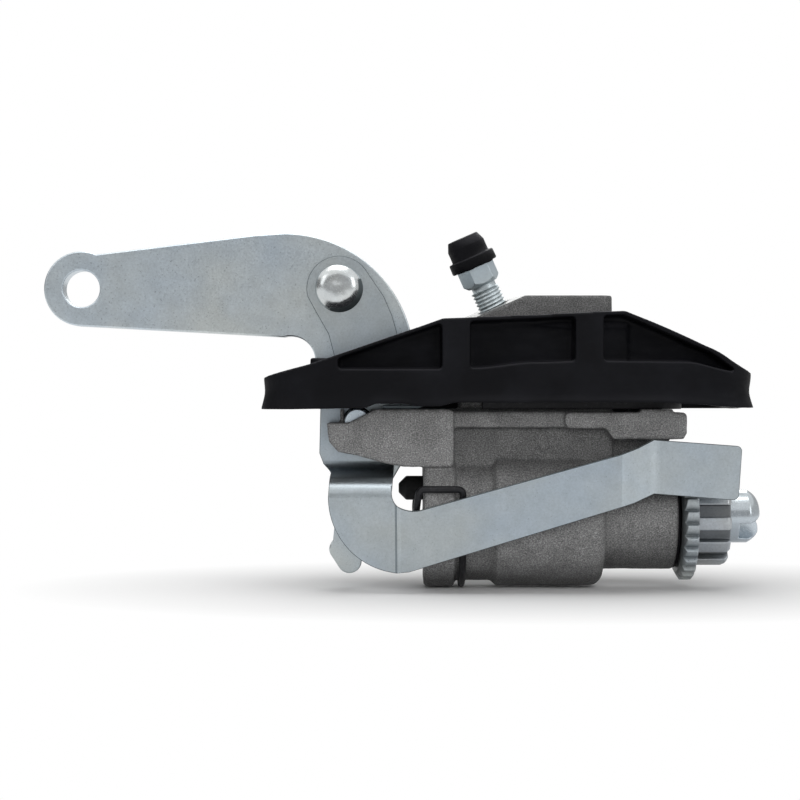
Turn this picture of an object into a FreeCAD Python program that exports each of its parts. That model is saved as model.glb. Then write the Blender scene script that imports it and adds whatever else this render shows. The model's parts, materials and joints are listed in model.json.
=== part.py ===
import FreeCAD, Part
import math
import os

# Drum brake wheel cylinder with a handbrake lever and a ratchet adjuster, in millimetres.
# The origin is in the middle of the seat that bears on the back plate. +X runs along the
# bore towards the tappet, +Z points out through the back plate and +Y away from the viewer.

V = FreeCAD.Vector

# Fits and clearances
turn_gap = 0.05
slide_gap = 0.035
plate_gap = 0.3
soft_gap = 0.35

# Casting, along the bore from the left
bore_depth_below_seat = 28.5
collar_left = -22.4
collar_length = 8.3
collar_radius = 18.7
collar_flat = 18.2
groove_length = 9.4
groove_radius = 17.0
boss_length = 29.4
boss_radius = 18.4
nose_length = 19.2
nose_radius = 14.0
bore_radius = 9.525
bore_length = 52.0
edge_round = 1.2

# Casting: chamfers and roundings of the turned part
groove_bevel = 1.4
boss_round = 3.0
nose_chamfer = 0.6

# Seat flange, fork ears and neck of the casting
flange_half_width = 15.0
strip_half_width = 13.0
strip_drop = 0.5
strip_thickness = 4.3
lug_start = 14.2
lug_length = 31.6
lug_drop = 0.8
lug_thin = 5.0
lug_thick = 7.8
lug_step_at = 12.6
lug_corner = 1.2
lug_end_corner = 1.1
lug_side_height = 6.3
lug_pad_at = 19.6
lug_pad_length = 8.3
ear_height = 14.9
ear_reach = 25.1
ear_wall = 3.0
ear_corner = 1.2
ear_dip = 0.3
ear_dip_edges = (0.4, 2.3, 5.5)
ear_crest = (8.6, 12.5)
ear_crest_drop = 2.0
ear_right_margin = 0.5
ear_underside = [(20, 0), (14.2, 1.1), (7.6, 2.95), (3, 3.8)]
ear_side_drop = (5.2, 0.6)
saddle_margin = 0.9
saddle_floor = 2.5
fork_end_x = -24.3
neck_left = -13.0
neck_right = 27.1
neck_half_width = 10.0
web_right = 42.0
neck_corner = 2.5
pad_height = 29.8
pad_left = 4.4
plate_groove_depth = 2.5
head_overlap = 4.0

# Bleed screw and inlet
bleed_x = -3.8
bleed_z = 27.1
bleed_tilt = 24.0
bleed_lean = 5.0
bleed_thread_radius = 3.95
bleed_thread_length = 12.0
bleed_neck_length = 6.6
bleed_neck_radius = 3.3
bleed_hex_flats = 9.0
bleed_hex_length = 5.2
bleed_hex_turn = 7.0
bleed_hex_chamfer = 1.2
bleed_hose_bore = 1.0
bleed_cone_length = 2.0
bleed_cone_tip = 0.8
nipple_radius = 2.8
nipple_length = 6.6
cap_flange_radius = 6.2
cap_flange_length = 2.8
cap_body_radius = 5.3
cap_length = 8.4
cap_top_radius = 4.05
cap_chamfer = 2.0
cap_lip_height = 0.9
passage_radius = 1.6
inlet_radius = 5.0
inlet_depth = 12.0
inlet_x = 15.0

# Handbrake lever and its pin
pin_inset = 7.8
pin_z = -3.2
pin_radius = 3.5
pin_chamfer = 0.4
lever_thickness = 6.5
lever_hole_radius = 4.9
lever_end_radius = 9.9
lever_reach = 73.3
lever_rise = 35.1
lever_top_edge = 8.6
toe_radius = 3.2
toe_drop = 37.1
lever_shoulder = [(-27.2, 49.3), (-19.3, 49.8), (1.9, 42.4, 13.8, 24.4)]
lever_right_edge = [(14.6, 14.0, 14.1, 3.2), (13.1, -8.8), (9.2, -15.5)]
lever_toe_right = (5.2, -24.0, 1.0)
lever_toe_tip = (-2.2, -4.9, 1.8)
lever_left_edge = [(-7.1, -35.5), (-7.6, -33.8, -6.6, -31.8), (-5.5, -20),
                   (-7.0, -13.0, -9.6, -8), (-9.8, 4.7), (-11.3, 16.2)]
lever_armpit = (-13.2, 20.6, -19.6, 22.3)
rivet_dx = -4.9
rivet_dz = 35.05
rivet_shank_radius = 3.5
rivet_head_radius = 6.3
rivet_head_height = 2.6
rivet_tail_height = 1.4

# Adjuster arm
arm_thickness = 2.0
arm_play = 0.1
arm_head_radius = 8.6
arm_head_turn = 35.0
arm_head_end = 195.0
arm_bend_dx = 10.5
arm_bend_lead = 3.0
strap_right_edge = [(6.95, 32.9), (9.1, 27.9), (10.4, 23.3), (11.7, 13.2), (11.2, -5.8),
                    (9.7, -9.8), (9.4, -14.3)]
strap_left_edge = [(-6.9, -13.4), (-9.0, -11.3), (-10.1, -8.4), (-9.8, 4.7), (-6.1, 16.9),
                   (-7.7, 23.0), (-11.0, 28.8)]
arm_slant = 4.5
sheet_reach = 60.0
joggle_z = -13.5
joggle_radius = 3.5
joggle_fall = 9.5
quadrant_radius = 19.45
quadrant_dx = 12.2
quadrant_dz = -19.4
window_radius = 4.45
window_dx = 13.5
window_dz = -18.4
window_lip = (3.6, 4.6, 1.2)
arm_low_drop = 38.5
arm_rise_angle = 17.36
arm_width = 13.4
paddle_length = 22.6
paddle_height = 13.9
paddle_overlap = 8.0
paddle_tilt = 4.0
paddle_drop = 4.6
paddle_corner = 1.3
bend_run = 9.0
bend_low = (0.6, 1.0)
bend_high = (0.5, 2.1)

# Piston, adjuster and tappet
piston_length = 25.4
piston_setback = 0.4
piston_recess = 18.4
stem_radius = 7.0
seal_inset = 1.5
seal_width = 3.5
seal_radial = 1.8
seal_play = 0.1
snap_ring_inset = 4.5
snap_ring_width = 1.0
snap_ring_gap = 1.2
snap_ring_rise = 0.7
snap_ring_bite = 0.55
ring_groove_play = 0.1
thrust_washer_thickness = 0.8
dust_seal_thickness = 0.45
dust_seal_radius = 13.6
ratchet_radius = 17.0
ratchet_width = 4.3
ratchet_teeth = 30
ratchet_tooth_depth = 1.3
ratchet_phase = 6.5
ratchet_crown = 0.3
ratchet_flank_share = 0.18
ratchet_bevel = (1.3, 2.2)
ratchet_edge = 0.7
ratchet_hub_radius = 9.0
sleeve_radius = 13.07
sleeve_length = 9.0
sleeve_ribs = 12
sleeve_groove_depth = 2.4
sleeve_groove_width = 3.3
sleeve_phase = 6.0
sleeve_edge = 0.9
stem_chamfer = 0.5
stem_end_gap = 0.6
stem_floor = 1.5
tappet_thread_radius = 5.0
tappet_shank_length = 24.0
tappet_head_radius = 7.07
tappet_head_length = 8.5
tappet_slot_width = 5.0
tappet_slot_depth = 5.5
tappet_slot_angle = 35.0
tappet_dome_length = 3.0
tappet_dome_middle = (0.6, 0.75)
spring_wire = 1.4
spring_radius = 6.3
spring_turns = 6.0
spring_end_gap = 0.4
spring_seat_thickness = 1.4

# Small parts at the left end and the retaining plates
clip_wire = 1.8
clip_drop = 7.9
clip_inset = 0.9
clip_legs = [(0, 0, 0), (0.8, 2.4, 6.4), (0.2, 9, 12)]
contact_gap = 0.05
button_z = -21.0
button_radius = 3.2
button_length = 6.5
button_chamfer = 2.0
button_stem_radius = 2.0
button_stem_length = 6.0
distance_plate_thickness = 2.4
distance_plate_half_width = 9.0
distance_plate_reach = 19.3
distance_plate_inset = 6.0
spring_plate_thickness = 0.8
spring_plate_half_width = 13.6
spring_plate_low = 0.15
spring_plate_knee = 5.0
spring_plate_ramp = 6.0
spring_plate_right = 33.0
spring_plate_left = -33.0

# Rubber boot
boot_left = -63.7
boot_right = 61.9
boot_half_width = 24.0
boot_corner = 8.0
boot_base = 0.4
boot_skirt_top = 10.3
boot_end_height = 8.2
boot_ridge_left = -17.6
boot_ridge_right = 28.6
boot_ridge_height = 25.1
boot_ridge_fall = 2.0
boot_wall = 2.5
boot_lip = 0.9
boot_body_half_width = 15.0
boot_rib_width = 7.1
boot_left_rib = -17.8
boot_right_rib = 16.1
boot_pocket_margin = 2.8
boot_pocket_start = -44.3
boot_left_slope = [(-11.0, 3.3), (14.8, 12.1)]
boot_right_rise = 1.6
slit_left_reach = 14.0
slit_right_reach = 20.6

# Places that follow from the sizes above
axis_z = -bore_depth_below_seat
groove_left = collar_left + collar_length
boss_left = groove_left + groove_length
nose_left = boss_left + boss_length
nose_end = nose_left + nose_length
ear_left = collar_left - ear_reach
pin_x = ear_left + pin_inset
pin_half_length = flange_half_width - ear_wall
bore_left = nose_end - bore_length
lever_half = lever_thickness / 2
arm_back_y = -lever_half - arm_play
arm_mid_y = arm_back_y - arm_thickness / 2
arm_front_y = arm_back_y - arm_thickness
fork_front_y = arm_front_y - plate_gap
fork_back_y = lever_half + plate_gap
quadrant_y = -(collar_radius + arm_thickness / 4)
rivet_x = pin_x + rivet_dx
rivet_z = pin_z + rivet_dz
arm_bend_x = pin_x + arm_bend_dx
piston_end = nose_end - piston_setback
piston_left = piston_end - piston_length
thrust_left = piston_end + contact_gap
ratchet_left = thrust_left + thrust_washer_thickness + plate_gap - contact_gap
ratchet_right = ratchet_left + ratchet_width
sleeve_right = ratchet_right + sleeve_length
paddle_y = -(ratchet_radius + plate_gap + arm_thickness / 2)
paddle_left = ratchet_left - paddle_overlap
paddle_right = paddle_left + paddle_length
seal_left = piston_left + seal_inset
snap_ring_left = piston_end - snap_ring_inset
channel_top = distance_plate_thickness + spring_plate_thickness + arm_play
quadrant_start = -math.degrees(math.acos((arm_bend_dx - quadrant_dx) / quadrant_radius))
window_start = -math.degrees(math.acos((arm_bend_dx - window_dx) / window_radius))
bleed_dir = V(-math.sin(math.radians(bleed_tilt)) * math.cos(math.radians(bleed_lean)),
              -math.sin(math.radians(bleed_lean)),
              math.cos(math.radians(bleed_tilt)) * math.cos(math.radians(bleed_lean)))
bleed_foot = V(bleed_x, 0, bleed_z)


def box(x0, x1, y0, y1, z0, z1):
    return Part.makeBox(x1 - x0, y1 - y0, z1 - z0, V(x0, y0, z0))


def rod(x0, x1, radius, y=0.0, z=axis_z):
    """A round bar along X, on the bore axis unless told otherwise."""
    return Part.makeCylinder(radius, x1 - x0, V(x0, y, z), V(1, 0, 0))


def cross_rod(x, z, radius, y0, y1):
    return Part.makeCylinder(radius, y1 - y0, V(x, y0, z), V(0, 1, 0))


def outline_wire(steps, place):
    """A closed wire. A step of two numbers is a line's end, one of four an arc's middle and end."""
    points = [place(*step[-2:]) for step in steps]
    edges = []
    for before, step, point in zip(points[-1:] + points[:-1], steps, points):
        if len(step) == 4:
            edges.append(Part.Arc(before, place(*step[:2]), point).toShape())
        elif before.distanceToPoint(point) > 1e-6:
            edges.append(Part.makeLine(before, point))
    return Part.Wire(edges)


def front_plate(steps, y0, y1):
    """A plate with an outline in X and Z, from y0 back to y1."""
    wire = outline_wire(steps, lambda x, z: V(x, y0, z))
    return Part.Face(wire).extrude(V(0, y1 - y0, 0))


def plan_plate(steps, z0, z1):
    """A plate with an outline in X and Y, from z0 up to z1."""
    wire = outline_wire(steps, lambda x, y: V(x, y, z0))
    return Part.Face(wire).extrude(V(0, 0, z1 - z0))


def turned(steps):
    """A body turned about the bore axis from an outline of X and radius."""
    wire = outline_wire(steps, lambda x, r: V(x, 0, axis_z + r))
    return Part.Face(wire).revolve(V(0, 0, axis_z), V(1, 0, 0), 360)


def offset_band(path, thickness, place):
    """A closed outline of even thickness round an open path of lines and arcs."""
    edges = []
    for before, step in zip(path, path[1:]):
        start = place(*before[-2:])
        end = place(*step[-2:])
        if len(step) == 4:
            edges.append(Part.Arc(start, place(*step[:2]), end).toShape())
        else:
            edges.append(Part.makeLine(start, end))
    line = Part.Wire(edges)
    return line.makeOffset2D(thickness / 2, 0, False, False, False)


def arc_to(cx, cz, radius, start, end):
    """An arc's outline step round a centre, from one angle to another in degrees."""
    middle = math.radians((start + end) / 2)
    last = math.radians(end)
    return (cx + radius * math.cos(middle), cz + radius * math.sin(middle),
            cx + radius * math.cos(last), cz + radius * math.sin(last))


def from_pin(steps):
    """Outline steps that are given from the lever's pin, moved to their place."""
    return [tuple(v + (pin_x if i % 2 == 0 else pin_z) for i, v in enumerate(step))
            for step in steps]


def export(name, shape):
    """Writes one solid, with the faces that lie in one plane joined."""
    solid = shape.Solids[0].removeSplitter()
    if len(shape.Solids) != 1 or not solid.isValid():
        raise ValueError(name + " is not one valid solid")
    solid.exportStep(os.path.join("parts", name + ".step"))


def ear_outline():
    """The fork ear seen from the front, with the dip that leaves the pin open at the top."""
    right = groove_left - ear_right_margin
    near = 0.3 * ear_corner
    dip_z = pin_z - ear_dip
    edge, dip_start, dip_end = (ear_left + x for x in ear_dip_edges)
    crest_middle, crest_end = (ear_left + x for x in ear_crest)
    underside = [(ear_left + x, z - ear_height) for x, z in ear_underside]
    low_side, high_side = (pin_z - drop for drop in ear_side_drop)
    return [
        (dip_start, dip_z), (dip_end, dip_z), (crest_middle, -ear_crest_drop, crest_end, 0),
        (right - ear_corner, 0), (right - near, -near, right, -ear_corner),
        (right, ear_corner - ear_height),
        (right - near, near - ear_height, right - ear_corner, -ear_height),
        *underside, (ear_left + ear_corner / 2, low_side), (ear_left, high_side), (edge, dip_z),
    ]


def fork_cut():
    """The gap between the ears that the lever and the arm's strap work in."""
    return box(ear_left - 1, fork_end_x, fork_front_y, fork_back_y, axis_z - collar_radius, 1)


def fork_ears():
    """Two ears with a blind saddle for the pin, open upwards, and the fork between them."""
    ears = front_plate(ear_outline(), -flange_half_width, flange_half_width)
    half = pin_half_length
    saddle_low = pin_z - pin_radius - saddle_floor
    ears = ears.fuse(box(pin_x - pin_radius - saddle_margin, pin_x + pin_radius + saddle_floor,
                         -half, half, saddle_low, 0))
    saddle = cross_rod(pin_x, pin_z, pin_radius, -half, half)
    saddle = saddle.fuse(box(pin_x - pin_radius, pin_x + pin_radius, -half, half, pin_z, 1))
    return ears.cut(saddle).cut(fork_cut())


def seat_flange():
    """The strip between the ears and the stepped lug at the right, which has two seat pads."""
    right = lug_start + lug_length
    near = 0.3 * lug_corner
    end_near = 0.3 * lug_end_corner
    strip = box(groove_left - ear_right_margin - 2 * ear_corner, lug_start + 2 * lug_corner,
                -strip_half_width, strip_half_width, -strip_drop - strip_thickness, -strip_drop)
    step_x = lug_start + lug_step_at
    top = -lug_drop
    lug = [
        (lug_start, top - lug_corner), (lug_start + near, top - near, lug_start + lug_corner, top),
        (right - lug_end_corner, top),
        (right - end_near, top - end_near, right, top - lug_end_corner),
        (right, -lug_side_height), (right - 0.9, -lug_thick),
        (step_x, -lug_thick), (step_x - 2, -lug_thin), (lug_start + lug_corner, -lug_thin),
        (lug_start + near, 2 * near - lug_thin, lug_start, 4 * near - lug_thin),
    ]
    pad_left_x = lug_start + lug_pad_at
    pad_inner = distance_plate_half_width + plate_gap
    pads = [box(pad_left_x, pad_left_x + lug_pad_length, low_y, high_y, top - 1, 0)
            for low_y, high_y in ((-flange_half_width, -pad_inner), (pad_inner, flange_half_width))]
    return strip.fuse([front_plate(lug, -flange_half_width, flange_half_width), *pads])


def neck():
    """The block that passes through the back plate and ends in the inlet pad and bleed face."""
    half = neck_half_width
    block = box(neck_left, neck_right, -half, half, 0, pad_height)
    reach = 3 * half
    waste = Part.makeBox(2 * reach, 2 * reach, reach, V(-reach, -reach, 0))
    waste.Placement = FreeCAD.Placement(V(pad_left, -half, pad_height),
                                        FreeCAD.Rotation(V(0, 0, 1), bleed_dir))
    left_of_pad = box(neck_left - reach, pad_left, -reach, reach, 0, 2 * pad_height)
    block = block.cut(waste.common(left_of_pad))
    upright = [edge for edge in block.Edges
               if len(edge.Vertexes) == 2
               and abs(edge.Vertexes[0].Z - edge.Vertexes[1].Z) > pad_height / 2]
    block = block.makeFillet(neck_corner, upright)
    groove_y = half - plate_groove_depth
    for side_y in (-1, 1):
        inner = sorted((side_y * groove_y, side_y * (half + 1)))
        block = block.cut(box(neck_left - 1, neck_right + 1, inner[0], inner[1], 0, channel_top))
    web = box(groove_left, neck_right, -half, half, axis_z, 0)
    under_lug = box(neck_right - 1, web_right, 2 - half, half - 2, axis_z, -1)
    return block.fuse(web).fuse(under_lug)


def cylinder_barrel():
    """The turned part round the bore: collar, clip groove, boss and nose."""
    r = edge_round
    near = 0.3 * boss_round
    profile = [
        (collar_left, 0), (collar_left, collar_radius - r),
        (collar_left + 0.3 * r, collar_radius - 0.3 * r, collar_left + r, collar_radius),
        (groove_left - r, collar_radius),
        (groove_left - 0.3 * r, collar_radius - 0.3 * r, groove_left, collar_radius - r),
        (groove_left, groove_radius), (boss_left, groove_radius),
        (boss_left + groove_bevel, boss_radius), (nose_left - boss_round, boss_radius),
        (nose_left - near, boss_radius - near, nose_left, boss_radius - boss_round),
        (nose_left, nose_radius), (nose_end - nose_chamfer, nose_radius),
        (nose_end, nose_radius - nose_chamfer), (nose_end, 0),
    ]
    barrel = turned(profile)
    reach = 2 * collar_radius
    for side in (-1, 1):
        near_y, far_y = sorted((side * collar_flat, side * reach))
        barrel = barrel.cut(box(collar_left, groove_left, near_y, far_y,
                                axis_z - reach, axis_z + reach))
    return barrel


def bleed_bar(start, end, radius):
    """A round bar on the bleed screw's axis, with distances measured out from its foot."""
    return Part.makeCylinder(radius, end - start, bleed_foot + bleed_dir * start, bleed_dir)


def cylinder_body():
    """The casting: barrel, ears, seat and neck, with its bore, ports and threads."""
    half = neck_half_width
    body = cylinder_barrel().fuse([fork_ears(), seat_flange(), neck()])
    body = body.fuse(box(groove_left - 3, neck_left + head_overlap, -half, half, axis_z, 0))
    body = body.cut(fork_cut())
    body = body.cut(rod(bore_left, nose_end + 1, bore_radius))
    seat_end = bleed_foot + bleed_dir * -bleed_thread_length
    body = body.cut(bleed_bar(-bleed_thread_length, half, bleed_thread_radius + turn_gap))
    passage_end = axis_z + bore_radius - 1
    body = body.cut(Part.makeCylinder(passage_radius, seat_end.z - passage_end + 1,
                                      V(seat_end.x, 0, passage_end)))
    inlet_floor = pad_height - inlet_depth
    body = body.cut(Part.makeCylinder(inlet_radius, inlet_depth + 1, V(inlet_x, 0, inlet_floor)))
    body = body.cut(Part.makeCylinder(passage_radius, inlet_floor - passage_end + 1,
                                      V(inlet_x, 0, passage_end)))
    return body.cut(rod(collar_left - 1, collar_left + button_stem_length, button_stem_radius,
                        0, button_z))


def distance_plate():
    """The black plate that fills the back plate's slot to the right of the neck."""
    nose = neck_right + distance_plate_reach
    left = neck_left + distance_plate_inset
    half = distance_plate_half_width
    inner = neck_half_width - plate_groove_depth
    steps = [
        (left, -half), (nose - half, -half), (nose, 0, nose - half, half), (left, half),
        (left, inner), (neck_right, inner), (neck_right, -inner), (left, -inner),
    ]
    return plan_plate(steps, 0, distance_plate_thickness)


def spring_plate():
    """The zinc spring fork that lies on the distance plate and reaches back over the ears."""
    high = distance_plate_thickness
    low = spring_plate_low
    t = spring_plate_thickness
    right = spring_plate_right
    left = spring_plate_left
    knee = neck_left - spring_plate_knee
    foot = knee - spring_plate_ramp
    side = [
        (left, low), (foot, low), (knee, high), (right, high), (right, high + t),
        (knee - t / 3, high + t), (foot - t / 3, low + t), (left, low + t),
    ]
    strip = front_plate(side, -spring_plate_half_width, spring_plate_half_width)
    inner = neck_half_width - plate_groove_depth
    return strip.cut(box(left - 1, neck_right, -inner, inner, low - 1, high + 2 * t))


def pivot_pin():
    pin = cross_rod(pin_x, pin_z, pin_radius, -pin_half_length, pin_half_length)
    return pin.makeChamfer(pin_chamfer, [pin.Edges[0], pin.Edges[2]])


def handbrake_lever():
    """The thick plate from the cable hole, over the pin, to the toe that moves the shoe."""
    right_x, right_z, foot_x = lever_toe_right
    tip_x, tip_end, tip_rise = lever_toe_tip
    toe = [(right_x, right_z, foot_x, -toe_drop),
           (tip_x, -toe_drop - toe_radius, tip_end, -toe_drop - tip_rise)]
    blade = from_pin([(-lever_reach, lever_rise + lever_top_edge), *lever_shoulder,
                      *lever_right_edge, *toe, *lever_left_edge, lever_armpit,
                      (-lever_reach, lever_rise - lever_end_radius)])
    plate = front_plate(blade, -lever_half, lever_half)
    hole_x = pin_x - lever_reach
    hole_z = pin_z + lever_rise
    plate = plate.fuse(cross_rod(hole_x, hole_z, lever_end_radius, -lever_half, lever_half))
    plate = plate.cut(cross_rod(hole_x, hole_z, lever_hole_radius, -lever_half, lever_half))
    plate = plate.cut(cross_rod(pin_x, pin_z, pin_radius + turn_gap, -lever_half, lever_half))
    return plate.cut(cross_rod(rivet_x, rivet_z, rivet_shank_radius, -lever_half, lever_half))


def strap_outline():
    """The front outline of the riveted strap and the quarter disc below it."""
    head_start = arc_to(rivet_dx, rivet_dz, arm_head_radius, 0, arm_head_turn)[2:]
    head_end = arc_to(rivet_dx, rivet_dz, arm_head_radius, 0, arm_head_end)[2:]
    return from_pin([
        head_start, *strap_right_edge, (window_dx - window_radius, window_dz),
        arc_to(window_dx, window_dz, window_radius, -180, window_start),
        arc_to(quadrant_dx, quadrant_dz, quadrant_radius, 0, quadrant_start)[2:],
        arc_to(quadrant_dx, quadrant_dz, quadrant_radius, quadrant_start, -180),
        *strap_left_edge, head_end,
        arc_to(rivet_dx, rivet_dz, arm_head_radius, arm_head_end, arm_head_turn),
    ])


def joggle_path():
    """The strap's side view: down beside the lever, forward under the ear, down again."""
    fall = math.radians(joggle_fall)
    r = joggle_radius
    lower_r = r + arm_thickness / 2
    turn = math.pi / 2 - fall
    half = turn / 2
    upper_y = arm_mid_y - r
    first_end = (upper_y + r * math.cos(turn), joggle_z - r * math.sin(turn))
    start_y = quadrant_y + lower_r * (1 - math.sin(fall))
    start_z = first_end[1] - (first_end[0] - start_y) * math.tan(fall)
    lower_y = quadrant_y + lower_r
    lower_z = start_z - lower_r * math.cos(fall)
    return [
        (arm_mid_y, sheet_reach), (arm_mid_y, joggle_z),
        (upper_y + r * math.cos(half), joggle_z - r * math.sin(half), *first_end),
        (start_y, start_z),
        (lower_y - lower_r * math.cos(half), lower_z + lower_r * math.sin(half),
         quadrant_y, lower_z),
        (quadrant_y, -sheet_reach),
    ]


def arm_outline():
    """The front outline of the long arm and the paddle beside the ratchet wheel."""
    slope = math.tan(math.radians(arm_rise_angle))
    tilt = math.tan(math.radians(paddle_tilt))
    left = arm_bend_x
    low_start = left + arm_bend_lead
    low = pin_z - arm_low_drop
    knee = paddle_left - bend_run
    low_knee = low + (knee - low_start) * slope
    top = pin_z - paddle_drop
    corner = paddle_corner
    near = 0.3 * corner
    end_top = top - paddle_length * tilt
    end_low = end_top - paddle_height
    lip_x, lip_run, lip_rise = window_lip
    low_share, low_rise = bend_low
    high_share, high_drop = bend_high
    window_x = pin_x + window_dx
    window_z = pin_z + window_dz
    notch = arc_to(window_x, window_z, window_radius, 0, window_start)[2:]
    floor = arc_to(pin_x + quadrant_dx, pin_z + quadrant_dz, quadrant_radius,
                   0, quadrant_start)[2:]
    return [
        floor, (low_start, low), (knee, low_knee),
        (paddle_left - bend_run * low_share, low_knee + low_rise),
        (paddle_left, top - paddle_height),
        (paddle_right - 2 * corner, end_low),
        (paddle_right - corner, end_low + near, paddle_right - 2 * near, end_low + corner),
        (paddle_right, end_top - corner),
        (paddle_right - near, end_top - near, paddle_right - corner, end_top),
        (paddle_left, top), (paddle_left - bend_run * high_share, top - high_drop),
        (knee, low_knee + arm_width),
        (window_x + lip_x, low + lip_run * slope + arm_width + lip_rise),
        (window_x + lip_x / 4, window_z - window_radius, *notch),
    ]


def arm_path():
    """The arm's plan view: out past the casting, then back in beside the ratchet wheel."""
    knee = paddle_left - bend_run
    out_y = quadrant_y - (knee - arm_bend_x) * math.tan(math.radians(arm_slant))
    return [(arm_bend_x - bend_run, quadrant_y), (arm_bend_x, quadrant_y), (knee, out_y),
            (paddle_left, paddle_y), (paddle_right + bend_run, paddle_y)]


def adjuster_arm():
    """One bent sheet: strap, joggle, quarter disc, long arm and paddle."""
    far_left = pin_x - sheet_reach
    far_front = -sheet_reach
    side = Part.Face(offset_band(joggle_path(), arm_thickness, lambda y, z: V(far_left, y, z)))
    side = side.extrude(V(arm_bend_x + bend_run - far_left, 0, 0))
    left_sheet = side.common(front_plate(strap_outline(), far_front, 0))
    plan = Part.Face(offset_band(arm_path(), arm_thickness, lambda x, y: V(x, y, -sheet_reach)))
    plan = plan.extrude(V(0, 0, 2 * sheet_reach))
    right_sheet = plan.common(front_plate(arm_outline(), far_front, 0))
    arm = left_sheet.fuse(right_sheet)
    arm = arm.cut(cross_rod(pin_x, pin_z, pin_radius + plate_gap, far_front, 0))
    return arm.cut(cross_rod(rivet_x, rivet_z, rivet_shank_radius, far_front, 0))


def lever_rivet():
    """A rivet with a domed head in front and a flat closed head behind."""
    head = rivet_head_radius
    rise = rivet_head_height
    front = arm_front_y
    back = lever_half + rivet_tail_height
    steps = [
        (0, front - rise), (head * 0.62, front - rise * 0.82, head, front - 0.4), (head, front),
        (rivet_shank_radius, front), (rivet_shank_radius, lever_half),
        (head * 0.9, lever_half), (head * 0.8, back), (0, back),
    ]
    wire = outline_wire(steps, lambda r, y: V(rivet_x + r, y, rivet_z))
    return Part.Face(wire).revolve(V(rivet_x, 0, rivet_z), V(0, 1, 0), 360)


def wire_clip():
    """A spring wire round the groove, over the collar and down its end face, on both sides."""
    r = clip_wire / 2
    ring = groove_radius + r + contact_gap
    x = groove_left + r + clip_inset
    top = axis_z + clip_drop
    ring_y = math.sqrt(ring ** 2 - clip_drop ** 2)
    over_y = math.sqrt((collar_radius + r + contact_gap) ** 2 - clip_drop ** 2)
    end_x = collar_left - r - plate_gap
    front = [V(x, over_y, top)]
    front += [V(end_x - out, over_y - inward, top - down) for out, inward, down in clip_legs]
    reach = 2 * collar_radius
    shape = Part.makeTorus(ring, r, V(x, 0, axis_z), V(1, 0, 0))
    shape = shape.cut(box(x - clip_wire, x + clip_wire, -reach, reach, top, axis_z + reach))
    for side in (-1, 1):
        points = [V(x, side * ring_y, top)] + [V(p.x, side * p.y, p.z) for p in front]
        for start, end in zip(points, points[1:]):
            run = start.distanceToPoint(end)
            shape = shape.fuse(Part.makeCylinder(r, run, start, end - start))
            shape = shape.fuse([Part.makeSphere(r, start), Part.makeSphere(r, end)])
    return shape


def stop_button():
    """A black stop with a chamfered head and a stem pressed into the collar's end face."""
    head = rod(collar_left - button_length, collar_left, button_radius, 0, button_z)
    nose = [e for e in head.Edges if e.BoundBox.XMax < collar_left - button_length / 2]
    head = head.makeChamfer(button_chamfer, nose)
    stem_end = collar_left + button_stem_length - contact_gap
    return head.fuse(rod(collar_left, stem_end, button_stem_radius, 0, button_z))


def ring_groove(outer, inner):
    """The room that the snap ring has along the stem, as a tube."""
    return tube(snap_ring_left, snap_ring_left + snap_ring_width + 2 * ring_groove_play,
                outer, inner)


def piston():
    """The hydraulic piston with its seal groove and the blind recess for the sleeve's stem."""
    r = bore_radius - slide_gap
    body = rod(piston_left, piston_end, r)
    groove = tube(seal_left, seal_left + seal_width, r + 1, r - seal_radial)
    recess = rod(piston_end - piston_recess, piston_end, stem_radius + turn_gap)
    ring = ring_groove(stem_radius + snap_ring_rise + ring_groove_play, stem_radius - 1)
    return body.cut(groove).cut(recess).cut(ring)


def tube(x0, x1, outer, inner):
    return rod(x0, x1, outer).cut(rod(x0, x1, inner))


def piston_seal():
    inner = bore_radius - slide_gap - seal_radial
    return tube(seal_left + seal_play, seal_left + seal_width - seal_play,
                bore_radius - seal_play / 5, inner + seal_play / 5)


def sleeve_snap_ring():
    left = snap_ring_left + ring_groove_play
    ring = tube(left, left + snap_ring_width, stem_radius + snap_ring_rise,
                stem_radius - snap_ring_bite)
    return ring.cut(box(left - 1, left + 2 * snap_ring_width, -snap_ring_gap, snap_ring_gap,
                        axis_z, axis_z + 2 * stem_radius))


def thrust_washer():
    return tube(thrust_left, thrust_left + thrust_washer_thickness, bore_radius - plate_gap,
                stem_radius + turn_gap)


def dust_seal():
    return tube(nose_end, nose_end + dust_seal_thickness, dust_seal_radius,
                bore_radius + seal_play)


def ratchet_wheel():
    """Saw teeth whose leaning flanks face up in front, and a bevel towards the casting."""
    step = 2 * math.pi / ratchet_teeth
    back = step * (1 - ratchet_flank_share)
    phase = math.pi - math.radians(ratchet_phase)
    root = ratchet_radius - ratchet_tooth_depth

    def rim(angle, radius):
        return V(ratchet_left, radius * math.cos(angle), axis_z + radius * math.sin(angle))

    edges = []
    for tooth in range(ratchet_teeth):
        a = phase + tooth * step
        crown = rim(a + back / 2, ratchet_radius - ratchet_crown * ratchet_tooth_depth)
        edges.append(Part.Arc(rim(a, ratchet_radius), crown, rim(a + back, root)).toShape())
        edges.append(Part.makeLine(rim(a + back, root), rim(a + step, ratchet_radius)))
    wheel = Part.Face(Part.Wire(edges)).extrude(V(ratchet_width, 0, 0))
    outer = ratchet_radius + 0.1
    bevel_run, bevel_depth = ratchet_bevel
    blank = turned([(ratchet_left, 0), (ratchet_left, ratchet_radius - bevel_depth),
                    (ratchet_left + bevel_run, outer), (ratchet_right - ratchet_edge, outer),
                    (ratchet_right, ratchet_radius - ratchet_edge), (ratchet_right, 0)])
    return wheel.common(blank).cut(rod(ratchet_left, ratchet_right, ratchet_hub_radius))


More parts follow.
